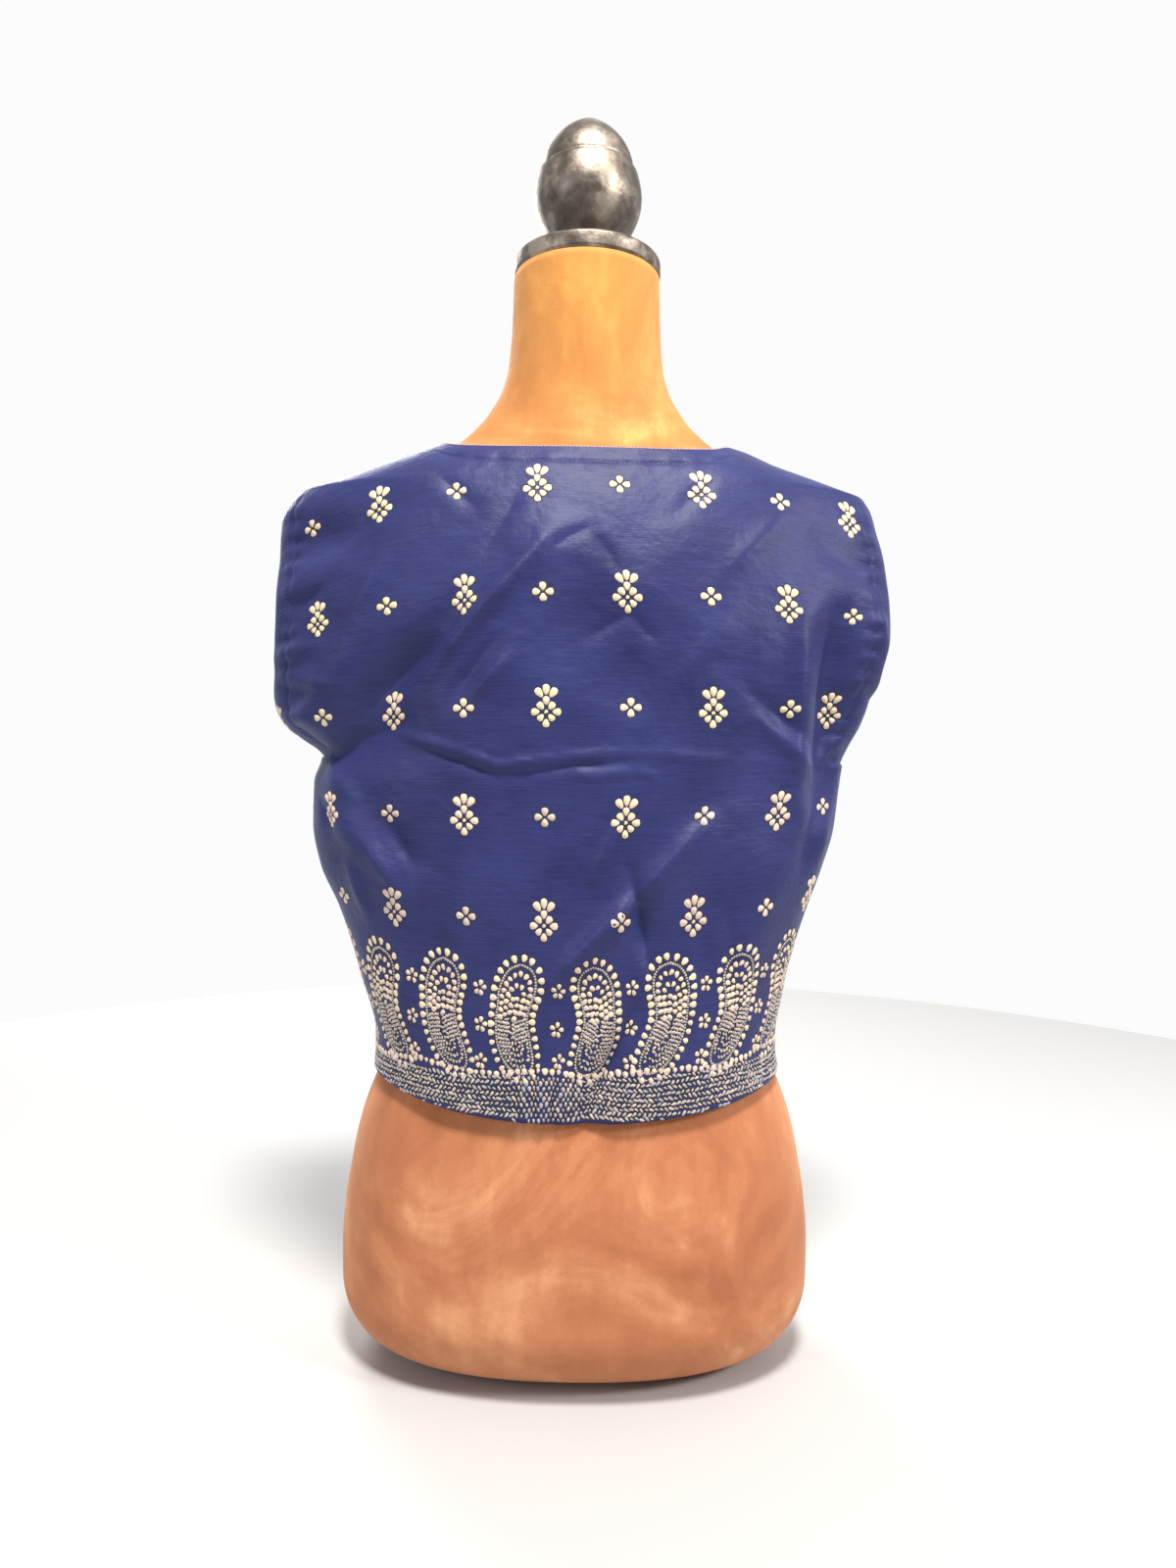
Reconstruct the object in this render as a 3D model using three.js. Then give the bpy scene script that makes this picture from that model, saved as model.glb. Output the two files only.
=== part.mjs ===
// A boxy crop top with cap sleeves, on the limbless dress form that carries it.
//
// Millimetres, +Z up. The origin is the middle of the form's flat underside. The real front
// faces -Y and the back +Y, so the wearer's left is +X. Every cloth seam lies in the plane
// y = 0: the back panel keeps behind it and the front panel before it.

import * as THREE from 'three';

// ---------------------------------------------------------------- driving dimensions

// Dress form, women's small: neck, shoulders, torso and hips in one smooth padded body.
const BOTTOM_EDGE_RADIUS = 56;
const NECK_TOP = 774;
const FORM_SIDES = 36;

// Half width (side), depth behind and before the seam plane, and how square the section is.
const FORM_SECTIONS = [
  { z: 0, side: 167.5, back: 104, front: 98, square: 2.3 },
  { z: 82, side: 168.6, back: 105, front: 99, square: 2.3 },
  { z: 110, side: 166.5, back: 104.5, front: 98, square: 2.3 },
  { z: 133, side: 163, back: 103, front: 96, square: 2.3 },
  { z: 162, side: 157.5, back: 98.5, front: 93, square: 2.3 },
  { z: 191, side: 148, back: 93.5, front: 89, square: 2.3 },
  { z: 207, side: 140, back: 91, front: 87, square: 2.3 },
  { z: 225, side: 133, back: 88, front: 85, square: 2.3 },
  { z: 268, side: 119, back: 83, front: 83, square: 2.3 },
  { z: 320, side: 127, back: 83, front: 90, square: 2.3 },
  { z: 380, side: 143, back: 86, front: 101, square: 2.3 },
  { z: 430, side: 152, back: 88, front: 106, square: 2.3 },
  { z: 480, side: 159, back: 90, front: 100, square: 2.3 },
  { z: 530, side: 168, back: 90, front: 88, square: 2.3 },
  { z: 565, side: 172.5, back: 86, front: 77, square: 2.25 },
  { z: 589, side: 174, back: 79, front: 69, square: 2.2 },
  { z: 606.6, side: 172.5, back: 72.5, front: 61.5, square: 2.2 },
  { z: 617.1, side: 168, back: 67.5, front: 56.5, square: 2.2 },
  { z: 625.1, side: 159.5, back: 63.5, front: 53, square: 2.2 },
  { z: 631.1, side: 146.5, back: 61, front: 51, square: 2.15 },
  { z: 638.1, side: 126, back: 58.5, front: 49.5, square: 2.1 },
  { z: 644.6, side: 106, back: 57, front: 48.5, square: 2.05 },
  { z: 648, side: 98, back: 56, front: 48, square: 2 },
  { z: 653, side: 91, back: 55.5, front: 48.5, square: 2 },
  { z: 659, side: 84, back: 55, front: 49, square: 2 },
  { z: 667, side: 76, back: 54.5, front: 49.5, square: 2 },
  { z: 675, side: 70, back: 54, front: 50.5, square: 2 },
  { z: 690, side: 61.5, back: 53, front: 51.5, square: 2 },
  { z: 708, side: 56.5, back: 53, front: 52.5, square: 2 },
  { z: 738, side: 54, back: 53, front: 53, square: 2 },
  { z: NECK_TOP, side: 53, back: 53, front: 53, square: 2 },
];

// Metal neck cap and its finial.
const CAP_GAP = 0.3;
const CAP_RADIUS = 53.5;
const CAP_THICKNESS = 13;
const CAP_EDGE_RADIUS = 3;
const CAP_DOME_RISE = 3;
const TURNED_SIDES = 26;
const FINIAL_PROFILE = [
  { up: 0, radius: 24 },
  { up: 4, radius: 26.5 },
  { up: 8, radius: 26 },
  { up: 13, radius: 28 },
  { up: 19, radius: 31.5 },
  { up: 26, radius: 35.2 },
  { up: 34, radius: 38.2 },
  { up: 42, radius: 39.3 },
  { up: 49, radius: 38.8 },
  { up: 56, radius: 37.3 },
  { up: 60.5, radius: 35.8 },
  { up: 63, radius: 33.2 },
  { up: 66, radius: 33 },
  { up: 73, radius: 31.2 },
  { up: 80, radius: 27.8 },
  { up: 87, radius: 22.4 },
  { up: 93.5, radius: 15 },
  { up: 98, radius: 8 },
];
const FINIAL_HEIGHT = 100;

// Cloth.
const CLOTH = 1.4;
const HEM_CLOTH = 2.2;
const SEAM_GAP = 0.3;
const LAYER_GAP = 0.3;
const FACING_CLOTH = 1.2;
const CLOTH_ROOM = 1.2;
const FACING_ROOM = 2.1;

// Garment outline seen square from behind: half width on the wearer's left and right.
const UNDERARM = 424;
const SHOULDER_TIP = 612;
const OUTLINE = [
  { z: 206, left: 145.5, right: 144.5 },
  { z: 219, left: 144.5, right: 142.5 },
  { z: 234, left: 145, right: 142.5 },
  { z: 253, left: 150, right: 146 },
  { z: 267, left: 155, right: 148.5 },
  { z: 292, left: 162.5, right: 154.5 },
  { z: 320, left: 173, right: 163.5 },
  { z: 349, left: 186.5, right: 174 },
  { z: 378, left: 192, right: 182.5 },
  { z: 407, left: 191.5, right: 186 },
  { z: UNDERARM, left: 186.5, right: 188.5 },
  { z: 437, left: 198, right: 192.5 },
  { z: 450, left: 212.5, right: 198 },
  { z: 465, left: 217.5, right: 202.5 },
  { z: 485, left: 215, right: 209.5 },
  { z: 522, left: 213.5, right: 213.5 },
  { z: 566, left: 214.5, right: 211.5 },
  { z: 590, left: 215, right: 208 },
  { z: 603, left: 211.5, right: 206 },
  { z: SHOULDER_TIP, left: 205, right: 202 },
];
const SHOULDER_SLOPE = 0.34;

// Depth of the cloth at the middle of the back and of the front.
const DRAPE = [
  { z: 185, back: 100, front: 101 },
  { z: 240, back: 98.5, front: 104 },
  { z: 300, back: 97.5, front: 108 },
  { z: 380, back: 97.5, front: 112 },
  { z: 440, back: 98.5, front: 113 },
  { z: 490, back: 98.5, front: 108 },
  { z: 530, back: 96, front: 98 },
  { z: 565, back: 91, front: 86 },
  { z: 595, back: 82, front: 74.5 },
  { z: 615, back: 74, front: 64 },
  { z: 630, back: 66.5, front: 56.5 },
  { z: 640, back: 62, front: 52.5 },
  { z: 660, back: 59, front: 51 },
];
const BODY_SQUARE = 2.35;
const SLEEVE_SQUARE = 0.8;

// Hem, neckline and sleeve openings.
const HEM_SIDE = 206;
const HEM_BACK = 189;
const HEM_FRONT = 191;
const NECK_POINT = 108;
const NECK_BACK_DROP = 9.8;
const NECK_FRONT_DROP = 78;
// The back neckline rises a little just inside each neck point, between these shares of it.
const NECK_CORNER_LIFT = 2.4;
const CORNER_START = 0.8;
const CORNER_PEAK = 0.95;
const SLEEVE_OPEN_BACK = 38;
const SLEEVE_OPEN_FRONT = 45;
const BOTTOM_TURNING = 28;
const SLEEVE_TURNING = 13;
const NECK_TURNING = 12;
const TURNING_FADE = 7;
const OPENING_ROUNDNESS = 0.85;
const OPENING_START = 0.3;

// Extra room for the neck facing fades out below the neckline and beyond the neck points.
const NECK_ROOM_FULL = 1.6 * NECK_TURNING;
const NECK_ROOM_END = 3.2 * NECK_TURNING;
const NECK_ROOM_REACH = 1.3 * NECK_POINT;

// Folds fade out near the seams, taper towards their ends, and lean outwards at the sides.
const FOLD_FADE_START = 0.93;
const SLEEVE_FOLD_SHARE = 0.95;
const FOLD_END_SHARE = 0.35;
const FOLD_LEAN_POWER = 4;

// Grid of one panel: rows from hem to shoulder, columns from right to left.
const ROWS = 38;
const BACK_NECK_COLUMNS = 18;
const FRONT_NECK_COLUMNS = 14;
const SHOULDER_COLUMNS = 9;
const FRONT_SHOULDER_COLUMNS = 6;
const FACING_COLUMNS = 2;
const ROW_CROWDING = 1.45;
const EDGE_CROWDING = 0.4;

// Largest folds: a soft ridge (height above 0) or trough (below 0) between two points.
const BACK_FOLDS = [
  { name: 'blade to left underarm, ridge', x0: 18, z0: 573, x1: 116, z1: 462, width: 13, height: 5 },
  { name: 'left underarm hollow', x0: 88, z0: 505, x1: 172, z1: 434, width: 20, height: -9 },
  { name: 'left underarm, second ridge', x0: 150, z0: 500, x1: 196, z1: 440, width: 14, height: 4 },
  { name: 'left shoulder end hollow', x0: 152, z0: 582, x1: 208, z1: 562, width: 15, height: -7 },
  { name: 'left sleeve dimple', x0: 212, z0: 461, x1: 176, z1: 470, width: 11, height: -5 },
  { name: 'right shoulder end hollow', x0: -150, z0: 580, x1: -200, z1: 556, width: 14, height: -4 },
  { name: 'right underarm recess', x0: -180, z0: 522, x1: -172, z1: 392, width: 13, height: -10 },
  { name: 'right underarm turning', x0: -152, z0: 520, x1: -146, z1: 380, width: 11, height: 4 },
  { name: 'lower left ridge', x0: 168, z0: 392, x1: 118, z1: 334, width: 13, height: 5 },
  { name: 'lower left trough', x0: 150, z0: 398, x1: 96, z1: 350, width: 13, height: -3 },
  { name: 'long lower right ridge', x0: -94, z0: 392, x1: 12, z1: 282, width: 13, height: 5.5 },
  { name: 'trough beside it', x0: -32, z0: 362, x1: -48, z1: 286, width: 10, height: -4 },
  { name: 'hem fold', x0: -40, z0: 266, x1: -6, z1: 184, width: 10, height: -5 },
  { name: 'right flank ridge', x0: -128, z0: 372, x1: -104, z1: 262, width: 14, height: 3.5 },
];
const FRONT_FOLDS = [
  { name: 'bust to left underarm', x0: 78, z0: 452, x1: 168, z1: 448, width: 15, height: -7 },
  { name: 'bust to right underarm', x0: -80, z0: 456, x1: -166, z1: 440, width: 15, height: -8 },
  { name: 'left shoulder end hollow', x0: 150, z0: 578, x1: 208, z1: 552, width: 16, height: -6 },
  { name: 'right shoulder end hollow', x0: -148, z0: 580, x1: -202, z1: 556, width: 15, height: -5 },
  { name: 'fall from left bust', x0: 86, z0: 410, x1: 64, z1: 196, width: 17, height: 5 },
  { name: 'fall from right bust', x0: -82, z0: 404, x1: -92, z1: 204, width: 16, height: 4.5 },
  { name: 'middle trough', x0: 8, z0: 400, x1: -10, z1: 186, width: 18, height: -4 },
  { name: 'lower left diagonal', x0: 160, z0: 380, x1: 112, z1: 270, width: 13, height: 4 },
  { name: 'lower right diagonal', x0: -156, z0: 372, x1: -118, z1: 286, width: 13, height: 4 },
];

// Colours and finishes.
const BLUE_BROCADE = new THREE.MeshStandardMaterial({ color: 0x3c4391, roughness: 0.5 });
const PALE_FACING = new THREE.MeshStandardMaterial({ color: 0xf0c8c4, roughness: 0.8 });
const TAN_SUEDE = new THREE.MeshStandardMaterial({ color: 0xcf8a58, roughness: 0.95 });
const DARK_METAL = new THREE.MeshStandardMaterial({
  color: 0x3c3833,
  roughness: 0.4,
  metalness: 0.85,
});

// ---------------------------------------------------------------- small helpers

function clamp(value, low, high) {
  return Math.min(high, Math.max(low, value));
}

function mix(a, b, share) {
  return a + (b - a) * share;
}

function smoothStep(low, high, value) {
  const share = clamp((value - low) / (high - low), 0, 1);
  return share * share * (3 - 2 * share);
}

// Slope of a table's column at one row, held back so that the curve never overshoots.
function rowSlope(table, column, row) {
  if (row === 0 || row === table.length - 1) {
    const a = table[row === 0 ? 0 : row - 1];
    const b = table[row === 0 ? 1 : row];
    return (b[column] - a[column]) / (b.z - a.z);
  }
  const before = (table[row][column] - table[row - 1][column]) / (table[row].z - table[row - 1].z);
  const after = (table[row + 1][column] - table[row][column]) / (table[row + 1].z - table[row].z);
  return before * after <= 0 ? 0 : (2 * before * after) / (before + after);
}

// A smooth curve through one column of a table whose rows go up in z.
function fair(table, column, z) {
  const last = table.length - 1;
  if (z <= table[0].z) return table[0][column];
  if (z >= table[last].z) return table[last][column];
  let row = 0;
  while (table[row + 1].z < z) row += 1;
  const span = table[row + 1].z - table[row].z;
  const t = (z - table[row].z) / span;
  const start = rowSlope(table, column, row) * span;
  const end = rowSlope(table, column, row + 1) * span;
  const rise = table[row + 1][column] - table[row][column];
  const bend = 3 * rise - 2 * start - end;
  const twist = start + end - 2 * rise;
  return table[row][column] + t * (start + t * (bend + t * twist));
}

function meshOf(name, points, faces, material) {
  const geometry = new THREE.BufferGeometry();
  const coordinates = points.flatMap((point) => [point.x, point.y, point.z]);
  geometry.setAttribute('position', new THREE.Float32BufferAttribute(coordinates, 3));
  geometry.setIndex(faces.flat());
  geometry.computeVertexNormals();
  const mesh = new THREE.Mesh(geometry, material);
  mesh.name = name;
  return mesh;
}

// ---------------------------------------------------------------- dress form

// Half sizes of the form's section at one height, with the bottom edge rounded off.
function formSection(z) {
  const over = clamp(BOTTOM_EDGE_RADIUS - z, 0, BOTTOM_EDGE_RADIUS);
  const inset = BOTTOM_EDGE_RADIUS - Math.sqrt(BOTTOM_EDGE_RADIUS ** 2 - over ** 2);
  return {
    side: fair(FORM_SECTIONS, 'side', z) - inset,
    back: fair(FORM_SECTIONS, 'back', z) - inset,
    front: fair(FORM_SECTIONS, 'front', z) - inset,
    square: fair(FORM_SECTIONS, 'square', z),
  };
}

// Heights of the form's rings: close together round the bottom edge, then at the sections.
function formHeights() {
  const edgeSteps = 7;
  const heights = [];
  for (let step = 0; step <= edgeSteps; step += 1) {
    heights.push(BOTTOM_EDGE_RADIUS * (1 - Math.cos((step / edgeSteps) * (Math.PI / 2))));
  }
  for (const row of FORM_SECTIONS) {
    if (row.z > BOTTOM_EDGE_RADIUS) heights.push(row.z);
  }
  return heights;
}

function formTorso() {
  const points = [];
  const faces = [];
  const heights = formHeights();
  for (const z of heights) {
    const section = formSection(z);
    for (let side = 0; side < FORM_SIDES; side += 1) {
      const angle = (side / FORM_SIDES) * Math.PI * 2;
      const c = Math.cos(angle);
      const s = Math.sin(angle);
      const x = section.side * Math.sign(c) * Math.abs(c) ** (2 / section.square);
      const depth = s > 0 ? section.back : section.front;
      const y = depth * Math.sign(s) * Math.abs(s) ** (2 / section.square);
      points.push(new THREE.Vector3(x, y, z));
    }
  }
  for (let ring = 0; ring < heights.length - 1; ring += 1) {
    for (let side = 0; side < FORM_SIDES; side += 1) {
      const next = (side + 1) % FORM_SIDES;
      const a = ring * FORM_SIDES + side;
      const b = ring * FORM_SIDES + next;
      faces.push([a, b, b + FORM_SIDES], [a, b + FORM_SIDES, a + FORM_SIDES]);
    }
  }
  const topRing = (heights.length - 1) * FORM_SIDES;
  points.push(new THREE.Vector3(0, 0, 0), new THREE.Vector3(0, 0, NECK_TOP));
  const underside = points.length - 2;
  const neckTop = points.length - 1;
  for (let side = 0; side < FORM_SIDES; side += 1) {
    const next = (side + 1) % FORM_SIDES;
    faces.push([underside, next, side], [neckTop, topRing + side, topRing + next]);
  }
  return meshOf('form_torso', points, faces, TAN_SUEDE);
}

// How far a point is outside the form, along the way that leads straight off it.
function offForm(point) {
  const field = (x, y, z) => {
    const section = formSection(z);
    const depth = y > 0 ? section.back : section.front;
    const wide = (Math.abs(x) / section.side) ** section.square;
    const deep = (Math.abs(y) / depth) ** section.square;
    return (wide + deep) ** (1 / section.square) - 1;
  };
  const probe = 0.5;
  const { x, y, z } = point;
  const slope = new THREE.Vector3(
    field(x + probe, y, z) - field(x - probe, y, z),
    field(x, y + probe, z) - field(x, y - probe, z),
    field(x, y, z + probe) - field(x, y, z - probe),
  ).divideScalar(2 * probe);
  const steepness = slope.length();
  return { distance: field(x, y, z) / steepness, away: slope.divideScalar(steepness) };
}

// Moves a cloth point off the form until it has the room asked for.
function clearOfForm(point, room) {
  const tries = 6;
  for (let step = 0; step < tries; step += 1) {
    const { distance, away } = offForm(point);
    if (distance >= room) return;
    point.addScaledVector(away, room - distance);
  }
}

// ---------------------------------------------------------------- neck cap and finial

function capPlate() {
  const bottom = NECK_TOP + CAP_GAP;
  const top = bottom + CAP_THICKNESS;
  const bend = CAP_EDGE_RADIUS * (1 - Math.SQRT1_2);
  const profile = [
    [0, bottom],
    [CAP_RADIUS - CAP_EDGE_RADIUS, bottom],
    [CAP_RADIUS - bend, bottom + bend],
    [CAP_RADIUS, bottom + CAP_EDGE_RADIUS],
    [CAP_RADIUS, top - CAP_EDGE_RADIUS],
    [CAP_RADIUS - bend, top - bend],
    [CAP_RADIUS - CAP_EDGE_RADIUS, top],
    [FINIAL_PROFILE[0].radius + 2, top + CAP_DOME_RISE],
    [0, top + CAP_DOME_RISE],
  ];
  return lathed('cap_plate', profile);
}

function capFinial() {
  const foot = NECK_TOP + CAP_GAP + CAP_THICKNESS + CAP_DOME_RISE + CAP_GAP;
  const profile = [[0, foot]];
  for (const { up, radius } of FINIAL_PROFILE) profile.push([radius, foot + up]);
  profile.push([0, foot + FINIAL_HEIGHT]);
  return lathed('cap_finial', profile);
}

// A solid turned round the upright axis; its profile starts and ends on that axis.
function lathed(name, profile) {
  const outline = profile.map(([radius, z]) => new THREE.Vector2(radius, z));
  const geometry = new THREE.LatheGeometry(outline, TURNED_SIDES);
  geometry.rotateX(Math.PI / 2);
  const mesh = new THREE.Mesh(geometry, DARK_METAL);
  mesh.name = name;
  return mesh;
}

// ---------------------------------------------------------------- cloth surface

// Half width of the garment at one height, on the wearer's left (+X) or right (-X).
function outline(z, side) {
  const column = side > 0 ? 'left' : 'right';
  if (z <= SHOULDER_TIP) return fair(OUTLINE, column, z);
  return fair(OUTLINE, column, SHOULDER_TIP) - (z - SHOULDER_TIP) / SHOULDER_SLOPE;
}

// Half width at the shoulder tip, blended from right to left across the neck.
function tipReach(x) {
  const toLeft = smoothStep(-NECK_POINT, NECK_POINT, x);
  return mix(outline(SHOULDER_TIP, -1), outline(SHOULDER_TIP, 1), toLeft);
}

// Height of the shoulder seam, or of the neckline between the two neck points.
function topEdge(x, half) {
  const across = Math.abs(x);
  const tip = tipReach(x);
  if (across >= NECK_POINT) return SHOULDER_TIP + (tip - across) * SHOULDER_SLOPE;
  const neckPoint = SHOULDER_TIP + (tip - NECK_POINT) * SHOULDER_SLOPE;
  const share = across / NECK_POINT;
  const corner = NECK_CORNER_LIFT
    * smoothStep(CORNER_START, CORNER_PEAK, share)
    * smoothStep(1, CORNER_PEAK, share);
  const drop = half.neckDrop * (1 - share ** half.neckPower);
  return neckPoint - drop + corner * half.cornerShare;
}

function hemEdge(share, half) {
  return mix(half.hem, HEM_SIDE, share ** 2);
}

// How open the sleeve is at one height: 0 at the underarm and the shoulder tip.
function sleeveOpenness(z) {
  const share = clamp((z - UNDERARM) / (SHOULDER_TIP - UNDERARM), 0, 1);
  return Math.max(Math.sin(Math.PI * share), 0) ** OPENING_ROUNDNESS;
}

// Depth of the cloth behind or before the seam plane.
function clothDepth(x, z, half) {
  const reach = outline(z, x);
  const open = sleeveOpenness(z);
  const edge = half.sleeveOpen * open;
  const share = clamp(Math.abs(x) / reach, 0, 1);
  const power = mix(1 / BODY_SQUARE, SLEEVE_SQUARE, open);
  const middle = fair(DRAPE, half.column, z);
  return edge + (middle - edge) * (1 - share ** BODY_SQUARE) ** power;
}

// Sum of the folds at one place, as height along the way out of the cloth.
function foldHeight(x, z, folds) {
  let height = 0;
  for (const fold of folds) {
    const dx = fold.x1 - fold.x0;
    const dz = fold.z1 - fold.z0;
    const along = clamp(((x - fold.x0) * dx + (z - fold.z0) * dz) / (dx * dx + dz * dz), 0, 1);
    const off = Math.hypot(x - fold.x0 - along * dx, z - fold.z0 - along * dz) / fold.width;
    const taper = mix(FOLD_END_SHARE, 1, Math.sin(Math.PI * along));
    height += fold.height * taper * Math.exp(-off * off);
  }
  return height;
}

// The two halves of the garment: facing is +1 behind the seam plane and -1 before it.
const BACK_HALF = {
  facing: 1,
  column: 'back',
  neckColumns: BACK_NECK_COLUMNS,
  shoulderColumns: SHOULDER_COLUMNS,
  hem: HEM_BACK,
  neckDrop: NECK_BACK_DROP,
  neckCrowding: 0.2,
  neckPower: 4.4,
  cornerShare: 1,
  sleeveOpen: SLEEVE_OPEN_BACK,
  folds: BACK_FOLDS,
};
const FRONT_HALF = {
  facing: -1,
  column: 'front',
  neckColumns: FRONT_NECK_COLUMNS,
  shoulderColumns: FRONT_SHOULDER_COLUMNS,
  hem: HEM_FRONT,
  neckDrop: NECK_FRONT_DROP,
  neckCrowding: 1,
  neckPower: 2.4,
  cornerShare: 0,
  sleeveOpen: SLEEVE_OPEN_FRONT,
  folds: FRONT_FOLDS,
};

function columnsOf(half) {
  return half.neckColumns + 2 * half.shoulderColumns;
}

// Share across a panel, -1 at the wearer's right edge and +1 at the left, for one column.
// Columns crowd towards the edges and the neck points, where the cloth turns most.
function acrossShare(column, half) {
  const fromMiddle = column - columnsOf(half) / 2;
  const side = Math.sign(fromMiddle);
  const neckShare = NECK_POINT / outline(SHOULDER_TIP, side);
  const neckHalf = half.neckColumns / 2;
  const across = Math.abs(fromMiddle);
  if (across <= neckHalf) {
    const v = across / neckHalf;
    return side * neckShare * mix(v, Math.sin((Math.PI / 2) * v), half.neckCrowding);
  }
  const u = (across - neckHalf) / half.shoulderColumns;
  return side * mix(neckShare, 1, mix(u, Math.sin((Math.PI / 2) * u), EDGE_CROWDING));
}

// One point on the inner face of a panel. Row 0 is the hem and the last row the top edge.
function clothPoint(column, row, half) {
  const across = acrossShare(column, half);
  const up = 1 - (1 - row / ROWS) ** ROW_CROWDING;
  const sideZ = mix(HEM_SIDE, SHOULDER_TIP, up);
  const x = across * outline(sideZ, across);
  const z = mix(hemEdge(Math.abs(across), half), topEdge(x, half), up);
  const seamY = half.facing * (SEAM_GAP / 2);
  const onSideSeam = Math.abs(across) === 1 && (z <= UNDERARM || row === ROWS);
  const onShoulderSeam = row === ROWS && Math.abs(x) >= NECK_POINT;
  const point = new THREE.Vector3(x, 0, z);
  const nearNeck = smoothStep(NECK_ROOM_END, NECK_ROOM_FULL, topEdge(x, half) - z)
    * smoothStep(NECK_ROOM_REACH, NECK_POINT, Math.abs(x));
  const room = CLOTH_ROOM + FACING_ROOM * nearNeck;
  if (onSideSeam || onShoulderSeam) {
    clearOfForm(point, room);
    point.y = seamY;
    return point;
  }
  const reach = outline(z, x);
  const lean = (Math.abs(x) / reach) ** FOLD_LEAN_POWER * Math.sign(x);
  const toSeam = Math.abs(across) * (z > UNDERARM ? SLEEVE_FOLD_SHARE : 1);
  const fold = foldHeight(x, z, half.folds) * smoothStep(1, FOLD_FADE_START, toSeam);
  point.y = Math.max(clothDepth(x, z, half), SEAM_GAP / 2) * half.facing;
  point.x += (fold * lean) / Math.hypot(1, lean);
  point.y += (fold * half.facing) / Math.hypot(1, lean);
  clearOfForm(point, room);
  point.y = half.facing * Math.max(SEAM_GAP / 2, point.y * half.facing);
  return point;
}

// Inner face of a panel with the way out of the cloth at each point.
function clothGrid(half) {
  const points = [];
  for (let row = 0; row <= ROWS; row += 1) {
    const line = [];
    for (let column = 0; column <= columnsOf(half); column += 1) {
      line.push(clothPoint(column, row, half));
    }
    points.push(line);
  }
  const outward = points.map((line, row) => line.map((point, column) => {
    const right = line[Math.max(column - 1, 0)];
    const left = line[Math.min(column + 1, columnsOf(half))];
    const below = points[Math.max(row - 1, 0)][column];
    const above = points[Math.min(row + 1, ROWS)][column];
    const acrossWay = left.clone().sub(right);
    const upWay = above.clone().sub(below);
    const way = upWay.cross(acrossWay).multiplyScalar(half.facing);
    const onSeam = Math.abs(point.y) <= SEAM_GAP / 2 + 1e-9;
    if (onSeam) way.y = 0;
    return way.normalize();
  }));
  return { points, outward, half };
}

// Closed wall between two distances off the inner face, over a range of rows and columns.
function clothWall(name, grid, rows, columns, near, far, material) {
  const points = [];
  const faces = [];
  const wide = columns[1] - columns[0] + 1;
  const high = rows[1] - rows[0] + 1;
  for (const offset of [near, far]) {
    for (let row = rows[0]; row <= rows[1]; row += 1) {
      for (let column = columns[0]; column <= columns[1]; column += 1) {
        const point = grid.points[row][column].clone();
        points.push(point.addScaledVector(grid.outward[row][column], offset(row, column)));
      }
    }
  }
  const layer = wide * high;
  const at = (row, column, side) => side * layer + row * wide + column;
  const flip = grid.half.facing > 0;
  const quad = (a, b, c, d) => {
    if (flip) faces.push([a, c, b], [a, d, c]);
    else faces.push([a, b, c], [a, c, d]);
  };
  for (let row = 0; row < high - 1; row += 1) {
    for (let column = 0; column < wide - 1; column += 1) {
      const next = column + 1;
      quad(at(row, column, 1), at(row, next, 1), at(row + 1, next, 1), at(row + 1, column, 1));
      quad(at(row, column, 0), at(row + 1, column, 0), at(row + 1, next, 0), at(row, next, 0));
    }
  }
  for (let column = 0; column < wide - 1; column += 1) {
    quad(at(0, column, 0), at(0, column + 1, 0), at(0, column + 1, 1), at(0, column, 1));
    const top = high - 1;
    quad(at(top, column, 1), at(top, column + 1, 1), at(top, column + 1, 0), at(top, column, 0));
  }
  for (let row = 0; row < high - 1; row += 1) {
    quad(at(row, 0, 1), at(row + 1, 0, 1), at(row + 1, 0, 0), at(row, 0, 0));
    const edge = wide - 1;
    quad(at(row, edge, 0), at(row + 1, edge, 0), at(row + 1, edge, 1), at(row, edge, 1));
  }
  return meshOf(name, points, faces, material);
}

// Cloth is double where its edges are turned in: at the hem, the sleeves and the neck.
function panelThickness(grid) {
  const half = grid.half;
  const turned = (depth, fromEdge) => smoothStep(depth + TURNING_FADE, depth, fromEdge);
  return (row, column) => {
    const { x, z } = grid.points[row][column];
    const toHem = z - hemEdge(Math.abs(acrossShare(column, half)), half);
    const toSleeve = outline(z, x) - Math.abs(x);
    const openness = smoothStep(0, OPENING_START, sleeveOpenness(z));
    const inNeck = Math.abs(x) < NECK_POINT ? 1 : 0;
    const double = Math.max(
      turned(BOTTOM_TURNING, toHem),
      turned(SLEEVE_TURNING, toSleeve) * openness,
      turned(NECK_TURNING, topEdge(x, half) - z) * inNeck,
    );
    return mix(CLOTH, HEM_CLOTH, double);
  };
}

function panel(name, grid) {
  const rows = [0, ROWS];
  const columns = [0, columnsOf(grid.half)];
  return clothWall(name, grid, rows, columns, () => 0, panelThickness(grid), BLUE_BROCADE);
}

// A facing lies inside the panel, along an edge where it shows.
function facing(name, grid, rows, columns) {
  const inner = () => -LAYER_GAP - FACING_CLOTH;
  const outer = () => -LAYER_GAP;
  return clothWall(name, grid, rows, columns, inner, outer, PALE_FACING);
}

// First and last index at which a line of points passes a test.
function rangeWhere(line, test) {
  const found = line.map((point, index) => (test(point) ? index : -1)).filter((index) => index >= 0);
  return [found[0], found[found.length - 1]];
}

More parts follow.
